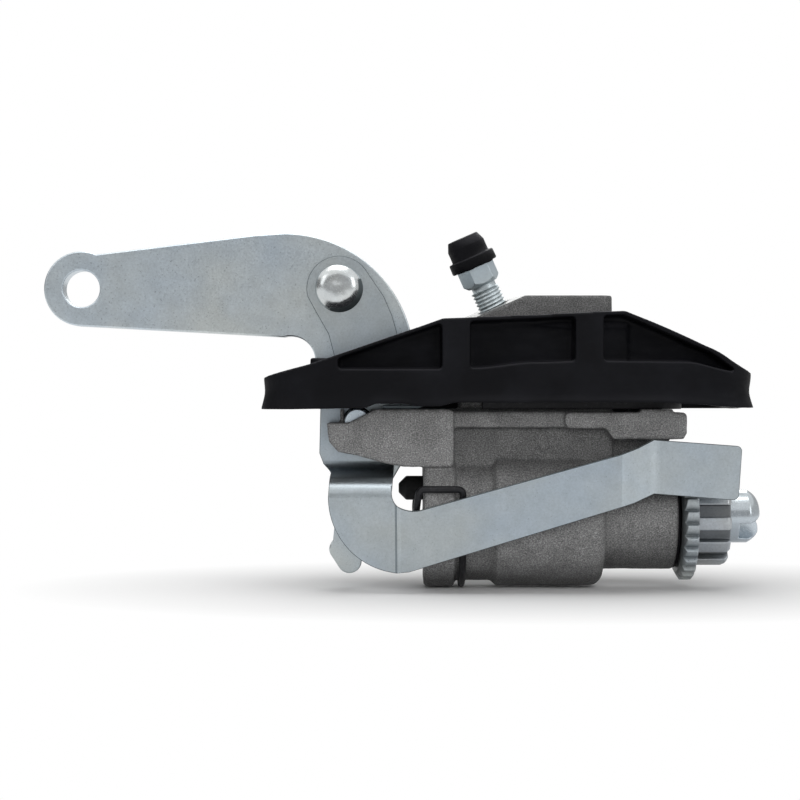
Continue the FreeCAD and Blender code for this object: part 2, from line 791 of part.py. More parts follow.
def adjuster_sleeve():
    """Stem in the piston, hub for the ratchet wheel and the ribbed barrel outside it."""
    stem_left = piston_end - piston_recess + stem_end_gap
    steps = [
        (stem_left, 0), (stem_left, stem_radius - stem_chamfer),
        (stem_left + stem_chamfer, stem_radius),
        (ratchet_left, stem_radius), (ratchet_left, ratchet_hub_radius),
        (ratchet_right, ratchet_hub_radius), (ratchet_right, sleeve_radius),
        (sleeve_right - sleeve_edge, sleeve_radius),
        (sleeve_right, sleeve_radius - sleeve_edge), (sleeve_right, 0),
    ]
    sleeve = turned(steps)
    pitch = 360 / sleeve_ribs
    half = sleeve_groove_width / 2
    floor = axis_z + sleeve_radius - sleeve_groove_depth
    for rib in range(sleeve_ribs):
        cut = box(ratchet_right, sleeve_right, -half, half, floor, axis_z + sleeve_radius + 1)
        cut.rotate(V(0, 0, axis_z), V(1, 0, 0), 90 + sleeve_phase + pitch * (rib + 0.5))
        sleeve = sleeve.cut(cut)
    ring = ring_groove(stem_radius + 1, stem_radius - snap_ring_bite - ring_groove_play / 2)
    return sleeve.cut(ring).cut(rod(stem_left + stem_floor, sleeve_right, tappet_thread_radius))


def tappet():
    """The screw that the sleeve drives out, with a slot for the shoe in its domed head."""
    left = sleeve_right + contact_gap
    end = left + tappet_head_length
    r = tappet_head_radius
    shank = tappet_thread_radius - turn_gap
    shank_left = left - tappet_shank_length
    chamfer = shank / 7
    dome_run, dome_share = tappet_dome_middle
    steps = [
        (shank_left, 0), (shank_left, shank - chamfer), (shank_left + chamfer, shank),
        (left, shank), (left, r), (end - tappet_dome_length, r),
        (end - dome_run, r * dome_share, end, 0),
    ]
    half = tappet_slot_width / 2
    slot = box(end - tappet_slot_depth, end + 1, -r - 1, r + 1, axis_z - half, axis_z + half)
    slot.rotate(V(0, 0, axis_z), V(1, 0, 0), tappet_slot_angle)
    return turned(steps).cut(slot)


def piston_spring():
    """The coil that keeps the cup and piston out against the shoe."""
    left = bore_left + spring_end_gap
    length = piston_left - spring_seat_thickness - seal_play - left
    coil_length = length - spring_wire
    helix = Part.makeHelix(coil_length / spring_turns, coil_length, spring_radius)
    circle = Part.Wire(Part.makeCircle(spring_wire / 2, V(spring_radius, 0, 0), V(0, 1, 0)))
    coil = Part.Wire(helix).makePipeShell([circle], True, True)
    coil.rotate(V(0, 0, 0), V(0, 1, 0), 90)
    coil.translate(V(left + spring_wire / 2, 0, axis_z))
    return coil


def spring_seat():
    return rod(piston_left - spring_seat_thickness, piston_left, bore_radius - plate_gap)


def on_bleed_axis(shape, start):
    """A shape that stands on the bleed screw's axis, at a distance out from its foot."""
    shape.Placement = FreeCAD.Placement(bleed_foot + bleed_dir * start,
                                        FreeCAD.Rotation(V(0, 0, 1), bleed_dir))
    return shape


def bleed_hexagon():
    """The chamfered spanner hexagon, standing on the origin."""
    corner = bleed_hex_flats / math.sqrt(3)
    wide = corner + 1
    ring = []
    for k in range(7):
        a = math.radians(60 * k + bleed_hex_turn)
        ring.append(V(corner * math.cos(a), corner * math.sin(a), 0))
    hexagon = Part.Face(Part.makePolygon(ring)).extrude(V(0, 0, bleed_hex_length))
    chamfer = Part.makeCone(corner - bleed_hex_chamfer, wide, bleed_hex_chamfer + 1)
    column = Part.makeCylinder(wide, bleed_hex_length, V(0, 0, bleed_hex_chamfer + 1))
    return hexagon.common(chamfer.fuse(column))


def bleed_screw():
    """Thread, neck, hexagon and hose nipple on the leaning axis, with a cone at the foot."""
    foot = plate_gap - bleed_thread_length
    thread_end = bleed_neck_length - 1.4
    hex_end = bleed_neck_length + bleed_hex_length
    nipple_end = hex_end + nipple_length
    shape = bleed_bar(foot + bleed_cone_length, thread_end, bleed_thread_radius)
    cone = Part.makeCone(bleed_cone_tip, bleed_thread_radius, bleed_cone_length,
                         bleed_foot + bleed_dir * foot, bleed_dir)
    shape = shape.fuse(cone).fuse(bleed_bar(thread_end, bleed_neck_length, bleed_neck_radius))
    shape = shape.fuse(on_bleed_axis(bleed_hexagon(), bleed_neck_length))
    shape = shape.fuse(bleed_bar(hex_end, nipple_end, nipple_radius))
    return shape.cut(bleed_bar(foot + 3 * bleed_cone_length, nipple_end, bleed_hose_bore))


def bleed_screw_cap():
    """The rubber cap: flared lip, round body and a chamfered top."""
    start = bleed_neck_length + bleed_hex_length + seal_play
    flare = start + cap_flange_length
    end = start + cap_length
    inner = nipple_radius + seal_play
    room = start + nipple_length + seal_play
    steps = [
        (inner, start), (cap_flange_radius, start),
        (cap_flange_radius + turn_gap, start + cap_lip_height, cap_body_radius, flare),
        (cap_body_radius, end - cap_chamfer), (cap_top_radius, end), (0, end),
        (0, room), (inner, room),
    ]
    wire = outline_wire(steps, lambda r, h: V(r, 0, h))
    return on_bleed_axis(Part.Face(wire).revolve(V(0, 0, 0), V(0, 0, 1), 360), 0)


def boot_outline(inset):
    """The boot's base, ends and sloping roof seen from the front, moved inwards by the inset."""
    left = boot_left + inset
    right = boot_right - inset
    low = boot_base if inset == 0 else boot_base - 1
    middle = (boot_left + boot_ridge_left) / 2
    slope = [(middle + dx, boot_end_height + rise - inset) for dx, rise in boot_left_slope]
    return [
        (left, low), (left, boot_end_height - inset), *slope,
        (boot_ridge_left, boot_ridge_height - boot_ridge_fall - inset),
        (boot_ridge_right - inset * 0.4, boot_ridge_height - inset),
        (right, boot_end_height + boot_right_rise - inset), (right, low),
    ]


def boot_plan(inset, z0, z1):
    """The boot's rounded rectangle seen from above."""
    left = boot_left + inset
    right = boot_right - inset
    half = boot_half_width - inset
    r = boot_corner - inset
    k = r * (1 - math.sqrt(0.5))
    return plan_plate([
        (left + r, -half), (right - r, -half), (right - k, k - half, right, r - half),
        (right, half - r), (right - k, half - k, right - r, half),
        (left + r, half), (left + k, half - k, left, half - r),
        (left, r - half), (left + k, k - half, left + r, -half),
    ], z0, z1)


def boot_pockets(boot):
    """Cuts three pockets in each long side, between the ribs, skirt and roof."""
    outer = boot_half_width + 1
    high = boot_ridge_height + 1
    under_roof = front_plate(boot_outline(boot_lip), -outer, outer)
    spans = [
        (boot_pocket_start, boot_left_rib), (boot_left_rib + boot_rib_width, boot_right_rib),
        (boot_right_rib + boot_rib_width, boot_right - boot_pocket_margin),
    ]
    for start, end in spans:
        for low_y, high_y in ((-outer, -boot_body_half_width), (boot_body_half_width, outer)):
            pocket = box(start, end, low_y, high_y, boot_skirt_top, high)
            boot = boot.cut(pocket.common(under_roof))
    return boot


def rubber_boot():
    """A hollow wedge with pockets in its sides, open below, at the neck and at the lever."""
    high = boot_ridge_height + 1
    below = boot_base - 1
    half = boot_half_width
    room_y = boot_body_half_width - boot_wall
    boot = front_plate(boot_outline(0), -half, half).common(boot_plan(0, boot_base, high))
    boot = boot_pockets(boot)
    hollow = front_plate(boot_outline(boot_wall), -half, half)
    skirt_room = boot_plan(boot_wall, below, boot_skirt_top - boot_wall)
    body_room = box(boot_left, boot_right, -room_y, room_y, below, high)
    boot = boot.cut(hollow.common(skirt_room)).cut(hollow.common(body_room))
    neck_y = neck_half_width + soft_gap
    boot = boot.cut(box(neck_left - soft_gap, neck_right + soft_gap, -neck_y, neck_y, 5, high))
    return boot.cut(box(pin_x - slit_left_reach, pin_x + slit_right_reach,
                        arm_front_y - soft_gap, lever_half + soft_gap, 3, high))


nodes = {
    "cylinder_body": cylinder_body,
    "rubber_boot": rubber_boot,
    "distance_plate": distance_plate,
    "spring_plate": spring_plate,
    "pivot_pin": pivot_pin,
    "handbrake_lever": handbrake_lever,
    "adjuster_arm": adjuster_arm,
    "lever_rivet": lever_rivet,
    "wire_clip": wire_clip,
    "stop_button": stop_button,
    "piston": piston,
    "piston_seal": piston_seal,
    "sleeve_snap_ring": sleeve_snap_ring,
    "thrust_washer": thrust_washer,
    "dust_seal": dust_seal,
    "ratchet_wheel": ratchet_wheel,
    "adjuster_sleeve": adjuster_sleeve,
    "tappet": tappet,
    "piston_spring": piston_spring,
    "spring_seat": spring_seat,
    "bleed_screw": bleed_screw,
    "bleed_screw_cap": bleed_screw_cap,
}

os.makedirs("parts", exist_ok=True)
for node, make in nodes.items():
    export(node, make())
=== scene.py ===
"""Looks of a drum brake wheel cylinder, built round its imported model, in metres."""

import json
import logging
import math
from dataclasses import dataclass
from enum import Enum
from typing import Callable, Sequence

import bmesh
import bpy
from mathutils import Matrix, Vector, noise


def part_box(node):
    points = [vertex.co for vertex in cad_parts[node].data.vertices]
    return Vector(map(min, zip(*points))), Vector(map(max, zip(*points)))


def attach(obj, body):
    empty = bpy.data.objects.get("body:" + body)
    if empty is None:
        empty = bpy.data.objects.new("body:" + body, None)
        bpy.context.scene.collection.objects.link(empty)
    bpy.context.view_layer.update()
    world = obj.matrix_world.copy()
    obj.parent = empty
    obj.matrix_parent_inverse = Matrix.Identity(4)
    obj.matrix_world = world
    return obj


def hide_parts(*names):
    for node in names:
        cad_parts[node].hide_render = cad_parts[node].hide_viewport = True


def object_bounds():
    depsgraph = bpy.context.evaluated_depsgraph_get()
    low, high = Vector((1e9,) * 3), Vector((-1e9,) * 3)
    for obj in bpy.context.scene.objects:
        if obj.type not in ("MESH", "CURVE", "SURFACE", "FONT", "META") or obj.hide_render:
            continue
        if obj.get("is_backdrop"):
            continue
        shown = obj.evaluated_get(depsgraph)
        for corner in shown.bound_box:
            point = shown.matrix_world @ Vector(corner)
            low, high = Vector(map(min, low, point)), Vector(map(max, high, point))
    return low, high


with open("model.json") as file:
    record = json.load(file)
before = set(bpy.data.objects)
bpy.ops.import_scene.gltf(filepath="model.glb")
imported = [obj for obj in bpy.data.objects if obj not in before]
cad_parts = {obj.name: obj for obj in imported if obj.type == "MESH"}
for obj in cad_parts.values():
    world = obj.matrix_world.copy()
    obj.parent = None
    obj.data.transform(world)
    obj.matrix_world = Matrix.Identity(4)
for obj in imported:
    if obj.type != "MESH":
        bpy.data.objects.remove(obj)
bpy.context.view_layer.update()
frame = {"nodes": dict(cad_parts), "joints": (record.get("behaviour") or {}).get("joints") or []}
BORE_Z = sum(corner[2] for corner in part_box("dust_seal")) / 2

log = logging.getLogger("wheel_cylinder")
MM = 0.001
MERGE = 2e-6  # corners of a copy that are closer than this become one
TOUCH = 1e-7  # corners that are closer than this to a cut or to a pole are on it
FLAT = 0.4  # faces of a copy that turn less than this, in degrees, become one
ROUND = 96  # faces in one full turn
Colour = tuple[float, float, float]
Point = tuple[float, float, float]
Knot = tuple[float, float]
Socket = bpy.types.NodeSocket
BMesh = bmesh.types.BMesh


class Body(Enum):
    """The moving bodies of the cylinder."""

    ROOT = "root"
    LEVER = "lever"
    PISTON = "piston"
    ADJUSTER = "adjuster"
    TAPPET = "tappet"
    BLEED_SCREW = "bleed_screw"
    BLEED_CAP = "bleed_cap"


class Slot(Enum):
    """The record's material slots."""

    CASTING = "sand_cast_iron"
    BOOT = "boot_rubber"
    CAP = "cap_rubber"
    BLACK_STEEL = "black_steel"
    ZINC = "zinc_plate"
    PIN = "bright_pin"
    RIVET = "bright_rivet"
    TAPPET = "bright_tappet"
    PLASTIC = "black_plastic"
    ALLOY = "machined_alloy"
    SINTERED = "sintered_steel"
    SCREW = "zinc_screw"


class Trim(Enum):
    """Finishes that some faces of a piece, or all of them, have in place of their slot's own."""

    MILLED = "milled_iron"
    # Painted shade: a dark zinc for the rivet head's lower right and the spring fork in the boot's
    # shade, and for the arm's edge roundings, where it is both the darker sheared edge and painted
    # shade.
    PAINTED_SHADE = "painted_shade_zinc"
    # Painted shade: a darker copy of the plate's zinc for the arm, standing in for less light on
    # it than on the lever.
    SHADED_SHEET = "shaded_sheet_zinc"
    # Painted shade: a dark band of zinc beside the arm's first bend, where the sheet curves away
    # from the light.
    CREASE_SHADE = "crease_shade_zinc"
    RIBS = "rib_steel"


class Tree:
    """A material's node tree, with a short call for each kind of node that the finishes use."""

    def __init__(self, name: str) -> None:
        """Starts a material whose patterns are laid out in millimetres.

        Args:
            name: The material's name.
        """
        self.material = bpy.data.materials.new(name)
        self.material.use_nodes = True
        self.nodes = self.material.node_tree.nodes
        self.links = self.material.node_tree.links
        self.nodes.clear()
        output = self.nodes.new("ShaderNodeOutputMaterial")
        self.shader = self.nodes.new("ShaderNodeBsdfPrincipled")
        self.links.new(self.shader.outputs[0], output.inputs["Surface"])
        self.object_place = self.nodes.new("ShaderNodeTexCoord").outputs["Object"]
        self.place = self.mapped((1.0, 1.0, 1.0))

    def mapped(self, stretch: Point, turn: Point = (0.0, 0.0, 0.0),
               shift: Point = (0.0, 0.0, 0.0)) -> Socket:
        """Object coordinates in millimetres, stretched, turned and shifted.

        Args:
            stretch: Scale on each axis, where a small value draws the pattern out.
            turn: Rotation about each axis, in radians.
            shift: Move along each axis, in millimetres.

        Returns:
            The socket that holds the vector.
        """
        node = self.nodes.new("ShaderNodeMapping")
        node.inputs["Scale"].default_value = tuple(s / MM for s in stretch)
        node.inputs["Rotation"].default_value = turn
        node.inputs["Location"].default_value = shift
        self.links.new(self.object_place, node.inputs["Vector"])
        return node.outputs[0]

    def noise(self, per_mm: float, detail: float, rough: float,
              place: Socket | None = None) -> Socket:
        """A noise pattern.

        Args:
            per_mm: Features in each millimetre.
            detail: Octaves of finer noise.
            rough: Weight of the finer octaves.
            place: The vector to read, or the plain millimetres.

        Returns:
            The socket that holds the value.
        """
        node = self.nodes.new("ShaderNodeTexNoise")
        node.inputs["Scale"].default_value = per_mm
        node.inputs["Detail"].default_value = detail
        node.inputs["Roughness"].default_value = rough
        self.links.new(place or self.place, node.inputs["Vector"])
        return node.outputs[0]

    def reach(self, place: Socket) -> Socket:
        """The length of a vector.

        Args:
            place: The vector.

        Returns:
            The socket that holds the length.
        """
        node = self.nodes.new("ShaderNodeVectorMath")
        node.operation = "LENGTH"
        self.links.new(place, node.inputs[0])
        return node.outputs["Value"]

    def part(self, vector: Socket, axis: str) -> Socket:
        """One of a vector's three numbers.

        Args:
            vector: The vector.
            axis: X, Y or Z.

        Returns:
            The socket that holds the number.
        """
        node = self.nodes.new("ShaderNodeSeparateXYZ")
        self.links.new(vector, node.inputs[0])
        return node.outputs[axis]

    def maths(self, operation: str, first: Socket, second: Socket) -> Socket:
        """Two values worked into one.

        Args:
            operation: What is done with them.
            first: The first value.
            second: The second value.

        Returns:
            The socket that holds the result.
        """
        node = self.nodes.new("ShaderNodeMath")
        node.operation = operation
        self.links.new(first, node.inputs[0])
        self.links.new(second, node.inputs[1])
        return node.outputs[0]

    def ramp(self, value: Socket, stops: Sequence[tuple[float, Colour]]) -> Socket:
        """Colours laid along a value.

        Args:
            value: The socket to read.
            stops: Pairs of a position and a colour.

        Returns:
            The socket that holds the colour.
        """
        node = self.nodes.new("ShaderNodeValToRGB")
        elements = node.color_ramp.elements
        for element, (at, colour) in zip(elements, stops[:2]):
            element.position = at
            element.color = (*colour, 1.0)
        for at, colour in stops[2:]:
            elements.new(at).color = (*colour, 1.0)
        self.links.new(value, node.inputs["Fac"])
        return node.outputs["Color"]

    def grey(self, value: Socket, low: float, high: float, start: float = 0.3,
             end: float = 0.7) -> Socket:
        """A value between two levels, clamped.

        Args:
            value: The socket to read.
            low: Level where the value is at start.
            high: Level where the value is at end.
            start: Lower end of the range that is read.
            end: Upper end of the range that is read.

        Returns:
            The socket that holds the level.
        """
        node = self.nodes.new("ShaderNodeMapRange")
        for name, number in (("From Min", start), ("From Max", end), ("To Min", low),
                             ("To Max", high)):
            node.inputs[name].default_value = number
        self.links.new(value, node.inputs["Value"])
        return node.outputs[0]

    def mix(self, share: Socket | float, first: Socket | Colour, second: Socket | Colour,
            blend: str = "MIX") -> Socket:
        """Two colours mixed.

        Args:
            share: How much of the second, as a socket or a number.
            first: The colour below, as a socket or three numbers.
            second: The colour laid over it.
            blend: The way of mixing.

        Returns:
            The socket that holds the colour.
        """
        node = self.nodes.new("ShaderNodeMix")
        node.data_type = "RGBA"
        node.blend_type = blend
        factor, low, high = node.inputs[0], node.inputs[6], node.inputs[7]
        for socket, given in ((factor, share), (low, first), (high, second)):
            if isinstance(given, Socket):
                self.links.new(given, socket)
            elif isinstance(given, float):
                socket.default_value = given
            else:
                socket.default_value = (*given, 1.0)
        return node.outputs[2]

    def times(self, first: Socket | Colour, second: Socket) -> Socket:
        """A colour multiplied by a second colour or by a level."""
        return self.mix(1.0, first, second, "MULTIPLY")

    def bump(self, height: Socket, depth: float, strength: float,
             under: Socket | None = None) -> Socket:
        """A bump from a height pattern.

        Args:
            height: The socket to read.
            depth: Height of the full pattern in metres.
            strength: Share of the bump that shows.
            under: A normal from an earlier bump to add to.

        Returns:
            The socket that holds the normal.
        """
        node = self.nodes.new("ShaderNodeBump")
        node.inputs["Distance"].default_value = depth
        node.inputs["Strength"].default_value = strength
        self.links.new(height, node.inputs["Height"])
        if under is not None:
            self.links.new(under, node.inputs["Normal"])
        return node.outputs[0]

    def feed(self, **sockets: Socket | float | Colour) -> bpy.types.Material:
        """Sets the shader's inputs, named with underscores for spaces.

        Args:
            **sockets: A socket to link, or a number or colour to set, for each input.

        Returns:
            The finished material.
        """
        for name, given in sockets.items():
            socket = self.shader.inputs[name.replace("_", " ")]
            if isinstance(given, Socket):
                self.links.new(given, socket)
            elif isinstance(given, tuple):
                socket.default_value = (*given, 1.0)
            else:
                socket.default_value = given
        return self.material


@dataclass(frozen=True)
class ZincPlating:
    """Zinc on rolled or turned steel: a soft mottle, a fine grain and small dark pits.

    A piece with teeth or ribs about the bore has painted shade in its grooves, given by the radius
    of their floors and of their crests in millimetres, and the share of the colour that is left on
    the floors.
    """

    name: str
    colour: Colour = (0.56, 0.61, 0.64)
    cool: Colour = (0.95, 0.99, 1.04)
    warm: Colour = (1.04, 1.02, 0.97)
    pitted: Colour = (0.10, 0.12, 0.13)
    smooth: float = 0.27
    dull: float = 0.40
    grain: float = 0.10
    pits: float = 0.35
    grain_depth: float = 0.012 * MM
    clouds_per_mm: float = 0.035
    patches_per_mm: float = 0.22
    grains_per_mm: float = 1.9
    pits_per_mm: float = 2.6
    lines_per_mm: float = 1.4
    drawn_out: Point = (0.10, 1.0, 1.6)
    groove_shade: tuple[float, float, float] | None = None

    def material(self) -> bpy.types.Material:
        """Lays the plating out in nodes.

        Returns:
            The material.
        """
        tree = Tree(self.name)
        cloud = tree.noise(self.clouds_per_mm, 3.0, 0.55)
        base = tree.times(self.colour, tree.ramp(cloud, [(0.35, self.cool), (0.65, self.warm)]))
        patch = tree.noise(self.patches_per_mm, 4.0, 0.6)
        base = tree.times(base, tree.grey(patch, 0.93, 1.05))
        fine = tree.noise(self.grains_per_mm, 3.0, 0.65)
        base = tree.times(base, tree.grey(fine, 1.0 - self.grain, 1.0 + self.grain * 0.6))
        pit = tree.grey(tree.noise(self.pits_per_mm, 1.0, 0.4), 0.0, self.pits, 0.70, 0.76)
        base = tree.mix(pit, base, self.pitted)
        # Painted shade: the colour darkens from the crests down to the floors of the teeth or
        # ribs.
        if self.groove_shade:
            floor, crest, shade = self.groove_shade
            from_axis = tree.reach(tree.mapped((0.0, 1.0, 1.0), shift=(0.0, 0.0, -BORE_Z / MM)))
            base = tree.times(base, tree.grey(from_axis, shade, 1.0, floor, crest))
        rolled = tree.noise(self.lines_per_mm, 2.0, 0.5, tree.mapped(self.drawn_out))
        normal = tree.bump(fine, self.grain_depth, 0.8)
        normal = tree.bump(rolled, self.grain_depth * 0.5, 0.5, normal)
        return tree.feed(Base_Color=base, Metallic=1.0, Normal=normal,
                         Roughness=tree.grey(fine, self.smooth, self.dull))


@dataclass(frozen=True)
class SandCasting:
    """Bare iron with a sandy cast skin, with painted shade that darkens it towards its middle
    plane, in its recesses, more than on its proud sides.

    The painted shade is given by the distances from the middle plane, in millimetres, where the
    skin is darkest and where the shade ends, and the share of the colour that is left where it is
    darkest.
    """

    name: str
    dark: Colour = (0.094, 0.094, 0.094)
    middle: Colour = (0.176, 0.176, 0.176)
    light: Colour = (0.340, 0.340, 0.340)
    grains_per_mm: float = 3.0
    stains_per_mm: float = 0.16
    sparks_per_mm: float = 3.6
    lumps_per_mm: float = 0.45
    sand_depth: float = 0.05 * MM
    painted_recess_shade: tuple[float, float, float] = (9.0, 14.6, 0.50)

    def material(self) -> bpy.types.Material:
        """Lays the casting's skin out in nodes.

        Returns:
            The material.
        """
        tree = Tree(self.name)
        sand = tree.noise(self.grains_per_mm, 2.0, 0.6)
        skin = tree.ramp(sand, [(0.30, self.dark), (0.72, self.light), (0.50, self.middle)])
        stain = tree.noise(self.stains_per_mm, 4.0, 0.65)
        skin = tree.times(skin, tree.grey(stain, 0.78, 1.16))
        # Painted shade: the skin darkens towards the middle plane, in the recesses under the
        # flanges and the boot.
        deep, proud, shade = self.painted_recess_shade
        from_middle = tree.reach(tree.mapped((0.0, 1.0, 0.0)))
        skin = tree.times(skin, tree.grey(from_middle, shade, 1.0, deep, proud))
        spark = tree.grey(tree.noise(self.sparks_per_mm, 1.0, 0.3), 0.0, 0.5, 0.66, 0.74)
        skin = tree.mix(spark, skin, self.light)
        normal = tree.bump(sand, self.sand_depth, 0.9)
        lumps = tree.noise(self.lumps_per_mm, 3.0, 0.6)
        normal = tree.bump(lumps, self.sand_depth * 1.5, 0.5, normal)
        return tree.feed(Base_Color=skin, Metallic=0.35, Normal=normal,
                         Roughness=tree.grey(sand, 0.75, 0.55))


@dataclass(frozen=True)
class MilledIron:
    """Iron milled flat, with faint lines left by the cutter."""

    name: str
    colour: Colour = (0.36, 0.365, 0.36)
    clouds_per_mm: float = 0.5
    lines_per_mm: float = 3.0
    line_depth: float = 0.01 * MM
    drawn_out: Point = (1.0, 0.12, 1.0)

    def material(self) -> bpy.types.Material:
        """Lays the milled face out in nodes.

        Returns:
            The material.
        """
        tree = Tree(self.name)
        cloud = tree.noise(self.clouds_per_mm, 3.0, 0.6)
        base = tree.times(self.colour, tree.grey(cloud, 0.80, 1.10))
        lines = tree.noise(self.lines_per_mm, 1.0, 0.4, tree.mapped(self.drawn_out))
        return tree.feed(Base_Color=base, Metallic=0.8, Roughness=tree.grey(lines, 0.34, 0.48),
                         Normal=tree.bump(lines, self.line_depth, 0.6))


@dataclass(frozen=True)
class MouldedRubber:
    """Black rubber with a faint bloom, drawn streaks, and a lighter tone where it faces up,
    painted highlight and dust in one.
    """

    name: str
    colour: Colour = (0.0022, 0.0023, 0.0032)
    bloom: Colour = (0.0060, 0.0063, 0.0082)
    top_light_and_dust: Colour = (0.026, 0.026, 0.030)
    smooth: float = 0.46
    dull: float = 0.64
    clouds_per_mm: float = 0.07
    streaks_per_mm: float = 0.9
    skin_per_mm: float = 1.6
    skin_depth: float = 0.03 * MM
    drawn_out: Point = (0.25, 1.0, 1.0)
    lean: Point = (0.0, 0.5, 0.0)

    def material(self) -> bpy.types.Material:
        """Lays the rubber out in nodes.

        Returns:
            The material.
        """
        tree = Tree(self.name)
        cloud = tree.noise(self.clouds_per_mm, 4.0, 0.6)
        base = tree.mix(tree.grey(cloud, 0.0, 0.8, 0.42, 0.72), self.colour, self.bloom)
        streak = tree.noise(self.streaks_per_mm, 3.0, 0.6, tree.mapped(self.drawn_out, self.lean))
        base = tree.mix(tree.grey(streak, 0.0, 0.35, 0.62, 0.80), base, self.bloom)
        # Painted highlight with dust: faces that point up are lightened, as the top lamp's light
        # and settled dust would make them.
        facing = tree.nodes.new("ShaderNodeNewGeometry").outputs["Normal"]
        upward = tree.grey(tree.part(facing, "Z"), 0.0, 0.8, 0.25, 0.85)
        base = tree.mix(upward, base, self.top_light_and_dust)
        skin = tree.noise(self.skin_per_mm, 3.0, 0.6)
        normal = tree.bump(skin, self.skin_depth, 0.5)
        normal = tree.bump(streak, self.skin_depth * 1.5, 0.35, normal)
        return tree.feed(Base_Color=base, Normal=normal, Specular_IOR_Level=0.10,
                         Roughness=tree.grey(streak, self.smooth, self.dull))


@dataclass(frozen=True)
class BlackCoat:
    """A thin black coat on steel or a black plastic, a little lighter where it is rubbed."""

    name: str
    colour: Colour = (0.011, 0.011, 0.013)
    rubbed: Colour = (0.045, 0.045, 0.050)
    gloss: float = 0.34
    metal: float = 0.0
    wear_per_mm: float = 0.8
    wear_depth: float = 0.02 * MM

    def material(self) -> bpy.types.Material:
        """Lays the coat out in nodes.

        Returns:
            The material.
        """
        tree = Tree(self.name)
        wear = tree.noise(self.wear_per_mm, 4.0, 0.65)
        base = tree.mix(tree.grey(wear, 0.0, 0.7, 0.50, 0.75), self.colour, self.rubbed)
        normal = tree.bump(wear, self.wear_depth, 0.5)
        return tree.feed(Base_Color=base, Metallic=self.metal, Normal=normal,
                         Roughness=tree.grey(wear, self.gloss, self.gloss + 0.2))


class Finishes:
    """The finish of each material slot and trim, made once and shared by the pieces."""

    RECIPES = {
        Trim.MILLED: MilledIron("milled_iron"),
        # Painted shade: dark zinc that stands in for shade at edges, on the rivet and under the
        # boot.
        Trim.PAINTED_SHADE: ZincPlating("painted_shade_zinc", colour=(0.13, 0.15, 0.16), smooth=0.45,
                                  dull=0.60),
        # Painted shade: the arm's zinc, a darker copy of the plate's.
        Trim.SHADED_SHEET: ZincPlating("shaded_sheet_zinc", colour=(0.455, 0.50, 0.53), smooth=0.30, dull=0.42),
        # Painted shade: the dark band beside the arm's first bend.
        Trim.CREASE_SHADE: ZincPlating("crease_shade_zinc", colour=(0.24, 0.275, 0.30), smooth=0.30,
                                 dull=0.42),
        Trim.RIBS: ZincPlating("rib_steel", colour=(0.46, 0.475, 0.485), smooth=0.36, dull=0.56,
                               grain=0.16, pits=0.4, grain_depth=0.02 * MM,
                               groove_shade=(10.9, 12.6, 0.42)),
        Slot.CASTING: SandCasting("sandy_iron"),
        Slot.BOOT: MouldedRubber("boot_black"),
        Slot.CAP: MouldedRubber("cap_black", colour=(0.0016, 0.0016, 0.0022),
                                bloom=(0.004, 0.004, 0.0055), dull=0.62),
        Slot.BLACK_STEEL: BlackCoat("black_wire", metal=0.5),
        Slot.ZINC: ZincPlating("blue_zinc"),
        Slot.PIN: ZincPlating("pin_zinc", colour=(0.64, 0.70, 0.74), smooth=0.25, dull=0.38,
                              grain=0.05),
        Slot.RIVET: ZincPlating("rivet_zinc", colour=(0.60, 0.63, 0.65), smooth=0.20,
                                dull=0.28, grain=0.03, pits=0.0, grain_depth=0.004 * MM),
        Slot.TAPPET: ZincPlating("tappet_zinc", colour=(0.50, 0.54, 0.57), smooth=0.16,
                                 dull=0.28, grain=0.05, pits=0.15),
        Slot.PLASTIC: BlackCoat("stop_black", colour=(0.003, 0.003, 0.003),
                                rubbed=(0.008, 0.008, 0.008), gloss=0.6),
        Slot.ALLOY: ZincPlating("turned_alloy", colour=(0.60, 0.60, 0.60), smooth=0.25,
                                dull=0.40, grain=0.04, pits=0.05),
        Slot.SINTERED: ZincPlating("pressed_steel", colour=(0.46, 0.485, 0.49), smooth=0.34,
                                   dull=0.54, grain=0.20, pits=0.5, grain_depth=0.03 * MM,
                                   groove_shade=(15.2, 16.8, 0.30)),
        Slot.SCREW: ZincPlating("screw_zinc", colour=(0.49, 0.54, 0.56), smooth=0.34,
                                dull=0.50, grain=0.07, pits=0.15),
    }

    def __init__(self) -> None:
        """Starts with no material made."""
        self.made: dict[Slot | Trim, bpy.types.Material] = {}

    def of(self, finish: Slot | Trim) -> bpy.types.Material:
        """Gives a finish's material, which is made at its first use.

        Args:
            finish: The slot or trim.

        Returns:
            The material.
        """
        if finish not in self.made:
            self.made[finish] = self.RECIPES[finish].material()
        return self.made[finish]


FINISHES = Finishes()


def in_scene(name: str, data: bpy.types.ID) -> bpy.types.Object:
    """Puts a mesh, curve, lamp or camera into the scene as an object.

    Args:
        name: The object's name.
        data: What the object shows.

    Returns:
        The object.
    """
    made = bpy.data.objects.new(name, data)
    bpy.context.scene.collection.objects.link(made)
    return made


def as_mesh(name: str, bm: BMesh) -> bpy.types.Mesh:
    """Turns a form that was worked on into a mesh.

    Args:
        name: The mesh's name.
        bm: The form, which is used up.

    Returns:
        The mesh.
    """
    mesh = bpy.data.meshes.new(name)
    bm.to_mesh(mesh)
    bm.free()
    return mesh


def evaluated(holder: bpy.types.Object) -> BMesh:
    """Reads what an object's modifiers or bevel make of it.

    Args:
        holder: The object, which is removed.

    Returns:
        The form to work on.
    """
    graph = bpy.context.evaluated_depsgraph_get()
    bm = bmesh.new()
    bm.from_mesh(holder.evaluated_get(graph).to_mesh())
    bpy.data.objects.remove(holder)
    return bm


def join(bm: BMesh, other: BMesh) -> None:
    """Adds one form to another.

    Args:
        bm: The form that grows.
        other: The form that is added, which is used up.
    """
    mesh = as_mesh("to_join", other)
    bm.from_mesh(mesh)
    bpy.data.meshes.remove(mesh)


